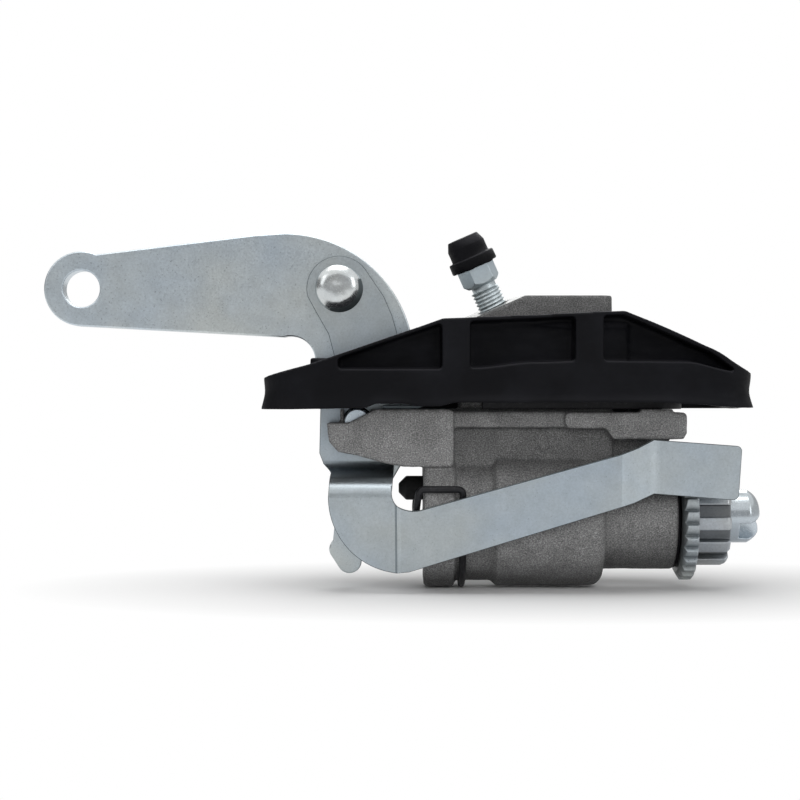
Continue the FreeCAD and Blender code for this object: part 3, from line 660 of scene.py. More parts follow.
def copied(node: str) -> BMesh:
    """A CAD node's mesh, merged, with its flat faces joined.

    Args:
        node: The node's name.

    Returns:
        The mesh to work on.
    """
    bm = bmesh.new()
    bm.from_mesh(frame["nodes"][node].data)
    bmesh.ops.remove_doubles(bm, verts=bm.verts, dist=MERGE)
    bmesh.ops.dissolve_limit(bm, angle_limit=math.radians(FLAT), verts=bm.verts, edges=bm.edges)
    return bm


def soften(bm: BMesh, width: float, segments: int = 2, least: float = 32.0,
           material: int = -1) -> None:
    """Rounds every edge that is sharper than an angle.

    Args:
        bm: The mesh.
        width: How far each rounding reaches, in metres.
        segments: Faces across each rounding.
        least: The smallest angle that is rounded, in degrees.
        material: Index of the material on the roundings, or -1 for that of their neighbours.
    """
    limit = math.radians(least)
    sharp = [e for e in bm.edges if len(e.link_faces) == 2 and e.calc_face_angle() > limit]
    bmesh.ops.bevel(bm, geom=sharp, offset=width, offset_type="OFFSET", segments=segments,
                    profile=0.5, affect="EDGES", clamp_overlap=False, material=material)
    bmesh.ops.remove_doubles(bm, verts=bm.verts, dist=MERGE)


def turned(profile: Sequence[Knot], foot: Vector, axis: Vector) -> BMesh:
    """A body turned about an axis.

    Args:
        profile: Pairs of a radius and a height along the axis, from pole to pole.
        foot: The point on the axis from which heights count.
        axis: The axis, of length one.

    Returns:
        The closed mesh.
    """
    bm = bmesh.new()
    side = axis.orthogonal().normalized()
    verts = [bm.verts.new(foot + side * radius + axis * height) for radius, height in profile]
    edges = [bm.edges.new(pair) for pair in zip(verts, verts[1:])]
    bmesh.ops.spin(bm, geom=verts + edges, cent=foot, axis=axis, angle=2 * math.pi,
                   steps=ROUND, use_merge=True, use_duplicate=False)
    bmesh.ops.remove_doubles(bm, verts=bm.verts, dist=TOUCH)
    bmesh.ops.recalc_face_normals(bm, faces=bm.faces)
    return bm


def cut_off(bm: BMesh, place: Vector, out: Vector) -> None:
    """Cuts off what lies beyond a plane, and closes the cut.

    Args:
        bm: The mesh.
        place: A point of the plane.
        out: The direction of the side that goes.
    """
    cut = bmesh.ops.bisect_plane(bm, geom=[*bm.verts, *bm.edges, *bm.faces], dist=TOUCH,
                                 plane_co=place, plane_no=out, clear_outer=True)
    rim = [e for e in cut["geom_cut"] if isinstance(e, bmesh.types.BMEdge)]
    bmesh.ops.holes_fill(bm, edges=rim, sides=0)


def remeshed(bm: BMesh, voxel: float, smoothings: int, kept: float) -> BMesh:
    """The same form in small even faces, with its edges worn round.

    Args:
        bm: The mesh, which is used up.
        voxel: Size of a face in metres.
        smoothings: How often the result is smoothed.
        kept: Share of the triangles that is kept where the form is flat.

    Returns:
        The new mesh.
    """
    mesh = as_mesh("to_remesh", bm)
    holder = in_scene("to_remesh", mesh)
    even = holder.modifiers.new("even", "REMESH")
    even.mode = "VOXEL"
    even.voxel_size = voxel
    holder.modifiers.new("worn", "SMOOTH").iterations = smoothings
    holder.modifiers.new("thinned", "DECIMATE").ratio = kept
    result = evaluated(holder)
    bpy.data.meshes.remove(mesh)
    return result


def roughen(bm: BMesh, feature: float, depth: float,
            where: Callable[[Vector], float] = lambda place: 1.0) -> None:
    """Moves the surface in and out by a smooth noise.

    Args:
        bm: The mesh.
        feature: Size of a hump in metres.
        depth: Largest move in metres.
        where: The share of the move at a place.
    """
    bm.normal_update()
    moves = [(v, v.normal * (noise.noise(v.co / feature) * depth * where(v.co)))
             for v in bm.verts]
    for vert, move in moves:
        vert.co += move


def ease(value: float, start: float, end: float) -> float:
    """A smooth step from 0 at start to 1 at end."""
    t = min(max((value - start) / (end - start), 0.0), 1.0)
    return t * t * (3.0 - 2.0 * t)


def along(value: float, knots: Sequence[Knot]) -> float:
    """A smooth line through knots, flat beyond the first and last.

    Args:
        value: Where to read it.
        knots: Pairs of a place and a height, in order.

    Returns:
        The height.
    """
    for (x0, y0), (x1, y1) in zip(knots, knots[1:]):
        if value < x1:
            return y0 + (y1 - y0) * ease(value, x0, x1)
    return knots[-1][1]


def screw_line() -> tuple[Vector, Vector]:
    """The foot and the direction of the bleed screw's axis, from its joint."""
    joint = next(j for j in frame["joints"] if j["name"] == "bleed_screw_turn")
    return Vector(joint["pos_m"]), Vector(joint["axis"]).normalized()


def add_piece(name: str, bm: BMesh, slot: Slot, body: Body, stands_for: Sequence[str],
              flat_sides: bool = True, trims: Sequence[Trim] = (),
              finish: Trim | None = None) -> None:
    """Makes a mesh into a piece of the cylinder.

    Args:
        name: The piece's name.
        bm: Its mesh, which is used up.
        slot: The record's slot that it is finished in.
        body: The body that it rides on.
        stands_for: CAD nodes that it replaces.
        flat_sides: Whether its large flat faces keep flat shading.
        trims: Finishes of its faces whose material index is 1 or more.
        finish: A trim that its other faces have in place of the slot's own finish.
    """
    for face in bm.faces:
        face.smooth = True
    piece = in_scene(name, as_mesh(name, bm))
    for each in (finish or slot, *trims):
        piece.data.materials.append(FINISHES.of(each))
    if flat_sides:
        piece.modifiers.new("flat_sides", "WEIGHTED_NORMAL").keep_sharp = True
    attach(piece, body.value)
    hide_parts(*stands_for)
    log.info("%s: %d faces", name, len(piece.data.polygons))


def add_worn(name: str, node: str, slot: Slot, body: Body, width: float, segments: int = 2,
             least: float = 32.0, finish: Trim | None = None) -> None:
    """Makes a CAD node's shape, with its sharp edges rounded, into a piece that replaces it.

    Args:
        name: The piece's name.
        node: The node's name.
        slot: The record's slot that it is finished in.
        body: The body that it rides on.
        width: How far each rounding reaches, in metres.
        segments: Faces across each rounding.
        least: The smallest angle that is rounded, in degrees.
        finish: A trim that it has in place of the slot's own finish.
    """
    bm = copied(node)
    soften(bm, width, segments, least)
    add_piece(name, bm, slot, body, [node], finish=finish)


def dress_node(node: str, slot: Slot) -> None:
    """Gives a CAD node that stays its finish.

    Args:
        node: The node's name.
        slot: The record's slot.
    """
    piece = frame["nodes"][node]
    piece.data.materials.clear()
    piece.data.materials.append(FINISHES.of(slot))
    log.info("%s: kept", node)


@dataclass
class LeverGroup:
    """The handbrake lever with the adjuster arm that is riveted to it."""

    plate_edge: float = 0.42 * MM
    arm_edge: float = 0.16 * MM
    bend_reach: float = 1.7 * MM
    bend_cuts: int = 6
    bend_height: float = 4.0 * MM
    bend_least: float = 2.5
    bend_most: float = 32.0
    ridge_height: float = 0.36 * MM
    ridge_back: float = 0.9 * MM
    ridge_front: float = 0.6 * MM
    crease_width: float = 0.6 * MM
    disc_top: float = -21.0 * MM
    seam: float = 0.03 * MM
    rivet_wall: float = 1.35 * MM
    rivet_rise: float = 2.1 * MM
    rivet_dimple: float = 1.5 * MM
    rivet_back: float = 2.0 * MM
    rivet_crown: float = 0.885
    crown_steps: int = 10
    crown_power: float = 3.0
    rivet_painted_shade: float = 0.30
    rivet_hump: float = 1.6 * MM
    rivet_hump_depth: float = 0.04 * MM
    lip: float = 0.1 * MM
    rivet_shift: Point = (-0.42 * MM, 0.0, 0.42 * MM)

    def plate(self) -> None:
        """The thick lever with edges rolled by the press."""
        add_worn("lever_plate", "handbrake_lever", Slot.ZINC, Body.LEVER, self.plate_edge, 3)

    def arm(self) -> None:
        """The thin sheet arm, whose upright bends are round and whose first one is creased, in
        darker copies of the zinc that are painted shade.
        """
        trims = [Trim.PAINTED_SHADE, Trim.SHADED_SHEET, Trim.CREASE_SHADE]
        edge_shade, sheet, crease_shade = range(1, 1 + len(trims))
        bm = copied("adjuster_arm")
        bmesh.ops.remove_doubles(bm, verts=bm.verts, dist=self.seam)
        bends = self.upright_bends(bm)
        gap = self.bend_reach / self.bend_cuts
        cuts = {round(place / gap) + step for place in bends
                for step in range(-self.bend_cuts, self.bend_cuts + 1)}
        for cut in sorted(cuts):
            bmesh.ops.bisect_plane(bm, geom=[*bm.verts, *bm.edges, *bm.faces], dist=1e-6,
                                   plane_co=(cut * gap, 0, 0), plane_no=(1, 0, 0))
        first = min(bends)
        for vert in bm.verts:
            if vert.co.x >= first + 2 * self.bend_reach or vert.co.z <= self.disc_top:
                vert.co.y += self.bend_shift(vert.co.x, bends)
        # Painted shade: faces in a narrow band left of the first bend, below the disc's top, take
        # the dark crease zinc; the rest take the darker copy of the zinc.
        for face in bm.faces:
            centre = face.calc_center_median()
            creased = first - self.crease_width < centre.x < first and centre.z < self.disc_top
            face.material_index = crease_shade if creased else sheet
        # Painted shade with the sheared edge: the edge roundings take the dark zinc, a dark line
        # where the arm lies on the lever.
        soften(bm, self.arm_edge, material=edge_shade)
        add_piece("arm_sheet", bm, Slot.ZINC, Body.LEVER, ["adjuster_arm"], trims=trims)

    def bend_shift(self, x: float, bends: dict[float, float]) -> float:
        """How far the rounded bends, and the ridge on the first one, move the sheet.

        Args:
            x: The place along the bore.
            bends: The change of the sheet's slope at each bend's place.

        Returns:
            The move along Y.
        """
        first = min(bends)
        width = self.ridge_back if x < first else self.ridge_front
        shift = -self.ridge_height * math.exp(-((x - first) / width) ** 2)
        for place, change in bends.items():
            short = max(self.bend_reach - abs(x - place), 0.0)
            shift += change * short ** 2 / (4 * self.bend_reach)
        return shift

    def upright_bends(self, bm: BMesh) -> dict[float, float]:
        """Where the sheet's front bends about an upright line.

        Args:
            bm: The arm's mesh.

        Returns:
            The change of the front's slope at each place along the bore.
        """
        found: dict[float, float] = {}
        for edge in bm.edges:
            if len(edge.link_faces) != 2 or edge.calc_length() < self.bend_height:
                continue
            angle = math.degrees(edge.calc_face_angle())
            left, right = sorted(edge.link_faces, key=lambda f: f.calc_center_median().x)
            run = edge.verts[1].co - edge.verts[0].co
            upright = abs(run.x) < 0.01 * MM and abs(run.z) > 0.95 * run.length
            if upright and self.bend_least < angle < self.bend_most and left.normal.y < -0.5:
                slopes = [-f.normal.x / f.normal.y for f in (left, right)]
                found[round(edge.verts[0].co.x, 5)] = slopes[1] - slopes[0]
        return found

    def rivet_head(self, centre: Vector, radius: float, front: float) -> BMesh:
        """The rivet's front head: a dimpled crown on a wall that leans up to the left.

        Args:
            centre: A point on the rivet's axis, at Y zero.
            radius: The head's radius.
            front: The Y that its crown reaches.

        Returns:
            The head, whose wall has the second finish at the lower right, a painted crescent of
            shade.
        """
        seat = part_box("handbrake_lever")[0].y - self.rivet_rise
        brow = seat - self.rivet_wall
        dimple = self.rivet_dimple
        profile = [(0.0, front + 0.12 * MM), (dimple * 0.5, front + 0.08 * MM), (dimple, front)]
        for step in range(1, self.crown_steps + 1):
            share = step / self.crown_steps
            profile.append((dimple + (radius * self.rivet_crown - dimple) * share,
                            front + (brow - front) * share ** self.crown_power))
        profile += [(radius * 0.93, seat - self.rivet_wall * 0.8),
                    (radius * 0.985, seat - self.rivet_wall * 0.25), (radius, seat - self.lip),
                    (radius, seat), (0.0, seat)]
        bm = turned(profile, centre, Vector((0, 1, 0)))
        for vert in bm.verts:
            raised = 1.0 - ease(vert.co.y, brow, seat - self.lip)
            vert.co += Vector(self.rivet_shift) * raised
        # Painted shade: the wall's faces at the lower right take the dark zinc, a crescent of
        # shade.
        for face in bm.faces:
            place = face.calc_center_median() - centre
            low_right = (place.x - place.z) / math.sqrt(2)
            if place.y > seat - self.rivet_wall * 0.9 and low_right > self.rivet_painted_shade * radius:
                face.material_index = 1
        roughen(bm, self.rivet_hump, self.rivet_hump_depth)
        return bm

    def rivet(self) -> None:
        """The formed rivet: a domed head in front and a flat one behind."""
        low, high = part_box("lever_rivet")
        centre = Vector(((low.x + high.x) / 2, 0.0, (low.z + high.z) / 2))
        radius = (high.x - low.x) / 2
        bm = self.rivet_head(centre, radius, low.y)
        foot, back = high.y - self.rivet_back, high.y
        join(bm, turned([(0.0, foot), (radius * 0.9, foot), (radius * 0.9, back - 0.7 * MM),
                         (radius * 0.78, back - self.lip), (radius * 0.5, back), (0.0, back)],
                        centre, Vector((0, 1, 0))))
        add_piece("rivet_heads", bm, Slot.RIVET, Body.LEVER, ["lever_rivet"], False,
                  [Trim.PAINTED_SHADE])

    def build(self) -> None:
        """Builds the group."""
        self.plate()
        self.arm()
        self.rivet()


@dataclass
class Casting:
    """The iron body with the small parts that stay on it."""

    voxel: float = 0.42 * MM
    smoothings: int = 2
    kept: float = 0.55
    wave: float = 7.0 * MM
    wave_depth: float = 0.14 * MM
    lump: float = 1.3 * MM
    lump_depth: float = 0.05 * MM
    bore_keep: float = 11.0 * MM
    bore_fade: float = 2.0 * MM
    face_turn: float = 9.0
    milled_depth: float = 0.6 * MM

    def away_from_bore(self, place: Vector) -> float:
        """No roughness in the bore, and all of it outside."""
        radius = math.hypot(place.y, place.z - BORE_Z)
        return ease(radius, self.bore_keep, self.bore_keep + self.bore_fade)

    def milled_faces(self) -> list[tuple[Vector, Vector]]:
        """The faces that a cutter has flattened: the bleed face, the pad, the seat and the nose.

        Returns:
            A place on each face and the way it faces.
        """
        along_bore, up = Vector((1.0, 0.0, 0.0)), Vector((0.0, 0.0, 1.0))
        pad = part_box("cylinder_body")[1].z
        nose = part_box("dust_seal")[0].x
        return [screw_line(), (up * pad, up), (up * 0.0, up), (along_bore * nose, along_bore)]

    def iron(self) -> None:
        """The casting with an uneven cast skin, and flat bright faces where it is milled."""
        bm = remeshed(copied("cylinder_body"), self.voxel, self.smoothings, self.kept)
        bm.normal_update()
        least = math.cos(math.radians(self.face_turn))
        milled: set[bmesh.types.BMVert] = set()
        for place, out in self.milled_faces():
            for face in bm.faces:
                depth = abs((face.calc_center_median() - place).dot(out))
                if face.normal.dot(out) > least and depth < self.milled_depth:
                    face.material_index = 1
                    milled.update(face.verts)
        kept = {vert: vert.co.copy() for vert in milled}
        roughen(bm, self.wave, self.wave_depth, self.away_from_bore)
        roughen(bm, self.lump, self.lump_depth, self.away_from_bore)
        for vert, place in kept.items():
            vert.co = place
        add_piece("iron_casting", bm, Slot.CASTING, Body.ROOT, ["cylinder_body"], False,
                  [Trim.MILLED])

    def small_parts(self) -> None:
        """Pin, stop, seal and the two retaining plates, with softened edges."""
        parts = [
            ("lever_pin", "pivot_pin", Slot.PIN, 0.12 * MM, None),
            ("stop_head", "stop_button", Slot.PLASTIC, 0.25 * MM, None),
            ("nose_seal", "dust_seal", Slot.BOOT, 0.2 * MM, None),
            ("slot_filler", "distance_plate", Slot.BLACK_STEEL, 0.2 * MM, None),
            # Painted shade: the spring fork takes the dark zinc, as it lies in shade under the
            # boot.
            ("spring_fork", "spring_plate", Slot.ZINC, 0.15 * MM, Trim.PAINTED_SHADE),
        ]
        for name, node, slot, width, finish in parts:
            add_worn(name, node, slot, Body.ROOT, width, finish=finish)

    def build(self) -> None:
        """Builds the casting and its parts."""
        self.iron()
        self.small_parts()
        dress_node("piston_spring", Slot.PIN)


@dataclass
class WireClip:
    """The black spring wire in the groove, bent over the collar on both sides.

    The leg's corners are given in millimetres from the one at its hook over the collar.
    """

    thickness: float = 1.8 * MM
    bend: float = 1.7 * MM
    drop: float = 3.0 * MM
    leg_inset: float = 0.8 * MM
    leg_corners: tuple[Point, ...] = ((0.0, 0.0, 0.0), (-0.8, -2.4, -6.4), (-0.2, -9.0, -12.0))
    ring_steps: int = 40

    def route(self) -> list[Vector]:
        """The wire's centreline as corners and ring points.

        Returns:
            The points, from the back leg's end round the groove to the front leg's end.
        """
        low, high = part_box("wire_clip")
        r = self.thickness / 2
        x, over, top = high.x - r, high.y - r, high.z - r
        ring = BORE_Z - low.z - r
        hook = Vector((low.x + r + self.leg_inset, over, top))
        leg = [hook + Vector(corner) * MM for corner in self.leg_corners]
        start = math.asin((top - self.drop - BORE_Z) / ring)
        angles = [start - (math.pi + 2 * start) * step / self.ring_steps
                  for step in range(self.ring_steps + 1)]
        groove = [Vector((x, ring * math.cos(a), BORE_Z + ring * math.sin(a))) for a in angles]
        front = [Vector((p.x, -p.y, p.z)) for p in leg]
        return [*reversed(leg), Vector((x, over, top)), *groove, Vector((x, -over, top)), *front]

    def build(self) -> None:
        """Sweeps the wire along its route."""
        points = rounded(self.route(), self.bend)
        curve = bpy.data.curves.new("clip_line", "CURVE")
        curve.dimensions = "3D"
        curve.bevel_depth = self.thickness / 2
        curve.bevel_resolution = 5
        curve.use_fill_caps = True
        spline = curve.splines.new("POLY")
        spline.points.add(len(points) - 1)
        for knot, point in zip(spline.points, points):
            knot.co = (*point, 1.0)
        bm = evaluated(in_scene("clip_line", curve))
        add_piece("clip_wire", bm, Slot.BLACK_STEEL, Body.ROOT, ["wire_clip"], False)


def rounded(points: Sequence[Vector], reach: float, steps: int = 6, gentle: float = 15.0,
            most: float = 0.48) -> list[Vector]:
    """A path with its sharper corners bent round.

    Args:
        points: The path's corners.
        reach: How far along each run a bend reaches.
        steps: Points in one bend.
        gentle: The largest turn that stays a corner, in degrees.
        most: The largest share of a run that a bend takes up.

    Returns:
        The points of the new path.
    """
    path = [points[0]]
    for before, corner, after in zip(points, points[1:], points[2:]):
        into, out = corner - before, after - corner
        if into.angle(out) < math.radians(gentle):
            path.append(corner)
            continue
        start = corner - into.normalized() * min(reach, into.length * most)
        end = corner + out.normalized() * min(reach, out.length * most)
        for step in range(steps + 1):
            t = step / steps
            path.append(start.lerp(corner, t).lerp(corner.lerp(end, t), t))
    path.append(points[-1])
    return path


@dataclass
class Boot:
    """The rubber boot with its pockets, ribs, sloping roof and wavy flared hem.

    The hem's and skirt line's knots are places along the bore and how far the line is raised
    there, in millimetres.
    """

    voxel: float = 0.45 * MM
    smoothings: int = 1
    kept: float = 0.5
    hump: float = 9.0 * MM
    hump_depth: float = 0.12 * MM
    skirt: float = 10.3 * MM
    pocket_top: float = 16.0 * MM
    core: float = 15.0 * MM
    core_band: float = 1.0 * MM
    corner: float = 8.0 * MM
    flare: float = 0.9 * MM
    flare_height: float = 5.0 * MM
    waist: float = 0.2 * MM
    waist_height: float = 4.8 * MM
    waist_reach: float = 2.4 * MM
    end_pinch: float = 0.15 * MM
    wobble: float = 0.12 * MM
    wobble_size: float = 14.0 * MM
    belly: float = 0.6 * MM
    belly_heights: Knot = (10.0 * MM, 14.0 * MM)
    hem_power: float = 1.5
    crest_gap: float = 0.8 * MM
    ridge_band: float = 0.3 * MM
    step_out: float = 1.3 * MM
    step_grow: float = 20.0 * MM
    step_fade: Knot = (1.5 * MM, 2.2 * MM)
    roof_depth: float = 4.2 * MM
    roof_fade: float = 0.4
    front_hem: tuple[Knot, ...] = (
        (-60.0, -0.4), (-38.0, -0.1), (-34.0, 1.2), (-28.0, 1.2), (-24.0, 0.4), (-19.0, 0.5),
        (-14.0, 1.4), (38.0, 1.5), (46.0, 0.9), (60.0, 0.0))
    back_hem: tuple[Knot, ...] = (
        (-60.0, -0.4), (-36.0, -0.9), (12.0, -1.0), (25.0, -1.7), (38.0, -1.7), (46.0, -0.4),
        (60.0, -0.3))
    skirt_line: tuple[Knot, ...] = (
        (-46.0, 0.0), (-20.0, 0.0), (-10.0, 0.3), (6.0, 1.7), (18.0, 2.1), (44.0, 1.9),
        (57.0, -0.6))
    tongue: tuple[Point, Point] = (
        (-52.0 * MM, -9.5 * MM, 8.0 * MM), (-44.6 * MM, -5.9 * MM, 13.4 * MM))

    def __post_init__(self) -> None:
        """Reads the boot's box and the right end of its ridge once."""
        self.low, self.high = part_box("rubber_boot")
        top = [v.co.x for v in frame["nodes"]["rubber_boot"].data.vertices
               if v.co.z > self.high.z - self.ridge_band]
        self.ridge_right = max(top)

    def rise(self, place: Vector, share: float) -> float:
        """How far the hem, the skirt's line and the right slope's belly raise a point.

        Args:
            place: The point.
            share: 1 at the hem, falling to 0 at the skirt's top.

        Returns:
            The rise in millimetres.
        """
        x = place.x / MM
        back = ease(place.y, self.low.y * 0.5, self.high.y * 0.5)
        lift = along(x, self.front_hem) * (1 - back) + along(x, self.back_hem) * back
        lift *= share ** self.hem_power
        if abs(place.y) > self.core - self.core_band:
            crest = ease(place.z, self.flare_height, self.skirt)
            crest *= 1.0 - ease(place.z, self.skirt + self.crest_gap, self.pocket_top)
            lift += along(x, self.skirt_line) * crest
        slope = (place.x - self.ridge_right) / (self.high.x - self.ridge_right)
        if 0.0 < slope < 1.0:
            bulge = math.sin(math.pi * slope) * ease(place.z, *self.belly_heights)
            lift += self.belly / MM * bulge
        return lift

    def spread(self, place: Vector, share: float) -> Vector:
        """How far the flare draws a point of the wall out and the waist draws it in.

        Args:
            place: The point.
            share: 1 at the hem, falling to 0 at the skirt's top.

        Returns:
            The move, away from the boot's middle.
        """
        low, high = self.low, self.high
        out = Vector((place.x - min(max(place.x, low.x + self.corner), high.x - self.corner),
                      place.y - min(max(place.y, low.y + self.corner), high.y - self.corner), 0.0))
        if out.length > 1e-9:
            out.normalize()
        flared = self.flare * max(1.0 - place.z / self.flare_height, 0.0) ** 2
        pinch = (self.waist + self.end_pinch * abs(out.x)) * math.exp(
            -((place.z - self.waist_height) / self.waist_reach) ** 2)
        wobble = self.wobble * noise.noise(place / self.wobble_size) * share
        return out * (flared - pinch + wobble)

    def shape(self, place: Vector) -> Vector:
        """Where a point of the plain boot goes once it is drawn out of true.

        Args:
            place: The point.

        Returns:
            Its new place.
        """
        share = min(max(1.0 - place.z / self.skirt, 0.0), 1.0)
        moved = place + self.spread(place, share)
        moved += Vector((0, 0, self.rise(place, share) * MM))
        on_core = abs(abs(place.y) - self.core) < self.core_band
        if on_core and place.z > self.skirt:
            roof = self.high.z - self.roof_depth
            step = 1.0 - ease(place.x - self.ridge_right, *self.step_fade)
            step *= ease(place.x, 0.0, self.step_grow)
            step *= 1.0 - ease(place.z, roof, roof + self.roof_fade * self.roof_depth)
            moved.y += math.copysign(self.step_out * step, place.y)
        return moved

    def build(self) -> None:
        """Builds the boot."""
        bm = copied("rubber_boot")
        low, high = (Vector(corner) for corner in self.tongue)
        block = bmesh.new()
        bmesh.ops.create_cube(block, size=1.0, matrix=Matrix.Translation((low + high) / 2)
                              @ Matrix.Diagonal((*(high - low), 1.0)))
        join(bm, block)
        bm = remeshed(bm, self.voxel, self.smoothings, self.kept)
        for vert in bm.verts:
            vert.co = self.shape(vert.co)
        roughen(bm, self.hump, self.hump_depth)
        add_piece("boot_rubber_shell", bm, Slot.BOOT, Body.ROOT, ["rubber_boot"], False)


@dataclass
class Adjuster:
    """The piston's parts, the ratchet wheel with its sleeve, and the tappet."""

    tooth_edge: float = 0.16 * MM
    tooth_least: float = 25.0
    rib_edge: float = 0.35 * MM
    tappet_edge: float = 0.3 * MM

    def build(self) -> None:
        """Builds the parts along the bore."""
        add_worn("ratchet_teeth", "ratchet_wheel", Slot.SINTERED, Body.ADJUSTER, self.tooth_edge,
                 least=self.tooth_least)
        add_worn("ribbed_barrel", "adjuster_sleeve", Slot.SINTERED, Body.ADJUSTER,
                 self.rib_edge, 3, finish=Trim.RIBS)
        add_worn("slotted_tappet", "tappet", Slot.TAPPET, Body.TAPPET, self.tappet_edge, 3)
        for node, slot in (("piston", Slot.ALLOY), ("piston_seal", Slot.BOOT),
                           ("sleeve_snap_ring", Slot.BLACK_STEEL), ("thrust_washer", Slot.ZINC),
                           ("spring_seat", Slot.ALLOY)):
            dress_node(node, slot)


@dataclass
class BleedScrew:
    """The leaning bleed screw with its rolled thread, hexagon and rubber cap."""

    pitch: float = 1.0 * MM
    root_radius: float = 3.4 * MM
    crest_radius: float = 3.85 * MM
    thread_start: float = -2.0 * MM
    thread_end: float = 5.1 * MM
    thread_lap: float = 0.15 * MM
    steps_per_turn: int = 32
    hex_edge: float = 0.14 * MM
    cap_start: float = 11.9 * MM
    cap_height: float = 8.3 * MM
    cap_hump: float = 4.0 * MM
    cap_hump_depth: float = 0.07 * MM
    bore_depth: float = 6.9 * MM
    bore_radius: float = 2.9 * MM
    foot_radius: float = 5.7 * MM
    lip_radius: float = 6.3 * MM
    lip_height: float = 2.75 * MM
    body_radius: float = 5.15 * MM
    top_radius: float = 4.05 * MM
    still_radius: float = 4.0 * MM
    scallop: float = 0.238 * MM
    hex_sides: int = 6

    def __post_init__(self) -> None:
        """Reads the screw's axis from its joint."""
        self.foot, self.axis = screw_line()
        self.side = self.axis.orthogonal().normalized()

    def thread(self) -> BMesh:
        """The thread as a profile of one pitch, spun and drawn along the axis.

        Returns:
            The closed mesh.
        """
        bm = bmesh.new()
        profile = [(self.root_radius, 0.0), (self.root_radius, 0.12), (self.crest_radius, 0.46),
                   (self.crest_radius, 0.60), (self.root_radius, 0.94), (self.root_radius, 1.0)]
        verts = [bm.verts.new(self.foot + self.side * radius
                              + self.axis * (self.thread_start + share * self.pitch))
                 for radius, share in profile]
        edges = [bm.edges.new(pair) for pair in zip(verts, verts[1:])]
        turns = math.ceil((self.thread_end - self.thread_start) / self.pitch) + 1
        bmesh.ops.spin(bm, geom=verts + edges, cent=self.foot, axis=self.axis,
                       dvec=self.axis * (self.pitch / self.steps_per_turn),
                       angle=2 * math.pi * turns, steps=self.steps_per_turn * turns,
                       use_merge=False, use_duplicate=False)
        bmesh.ops.remove_doubles(bm, verts=bm.verts, dist=1e-6)
        cut_off(bm, self.foot + self.axis * self.thread_end, self.axis)
        cut_off(bm, self.foot + self.axis * (self.thread_start + self.pitch), -self.axis)
        bmesh.ops.recalc_face_normals(bm, faces=bm.faces)
        return bm

    def screw(self) -> None:
        """The screw: thread below, then neck, hexagon and nipple from the CAD shape."""
        upper = copied("bleed_screw")
        cut_off(upper, self.foot + self.axis * (self.thread_end - self.thread_lap), -self.axis)
        soften(upper, self.hex_edge)
        join(upper, self.thread())
        add_piece("bleed_screw_steel", upper, Slot.SCREW, Body.BLEED_SCREW, ["bleed_screw"])

    def cap(self) -> None:
        """The rubber cap, whose lip is scalloped by the hexagon under it."""
        lip, top = self.lip_height, self.cap_height
        edge, body = self.lip_radius, self.body_radius
        profile = [
            (0.0, self.bore_depth), (self.bore_radius, self.bore_depth), (self.bore_radius, 0.0),
            (self.foot_radius, 0.0), (edge - 0.12 * MM, 0.06 * MM), (edge, 0.22 * MM),
            (edge - 0.05 * MM, lip - 0.25 * MM), (edge - 0.2 * MM, lip),
            (body + 0.2 * MM, lip + 0.06 * MM), (body, lip + 0.3 * MM),
            (body - 0.02 * MM, lip + 1.8 * MM), (body, top - 2.35 * MM),
            (body - 0.1 * MM, top - 2.1 * MM), (self.top_radius + 0.12 * MM, top - 0.12 * MM),
            (self.top_radius - 0.1 * MM, top), (0.0, top),
        ]
        start = self.foot + self.axis * self.cap_start
        bm = turned(profile, start, self.axis)
        other = self.axis.cross(self.side)
        for vert in bm.verts:
            place = vert.co - start
            height = place.dot(self.axis)
            if (place - self.axis * height).length > self.still_radius:
                angle = math.atan2(place.dot(other), place.dot(self.side))
                wave = math.cos(self.hex_sides * angle) + 0.5 * math.cos(2 * angle + 1.0)
                fade = 1.0 - ease(height, 0.0, lip)
                vert.co += self.axis * (self.scallop * wave * fade)
        roughen(bm, self.cap_hump, self.cap_hump_depth)
        add_piece("bleed_cap_rubber", bm, Slot.CAP, Body.BLEED_CAP, ["bleed_screw_cap"], False)

    def build(self) -> None:
        """Builds the screw and its cap."""
        self.screw()
        self.cap()


@dataclass(frozen=True)
class SoftBox:
    """A soft studio lamp."""

    name: str
    place: Point
    size: float
    power: float
    mirrored: bool = True

    def hang(self) -> None:
        """Makes the lamp and points it at the cylinder's origin."""
        data = bpy.data.lights.new(self.name, "AREA")
        data.shape = "SQUARE"
        data.size = self.size
        data.energy = self.power
        lamp = in_scene(self.name, data)
        lamp.visible_glossy = self.mirrored
        lamp.location = self.place
        lamp.rotation_euler = (-Vector(self.place)).to_track_quat("-Z", "Y").to_euler()


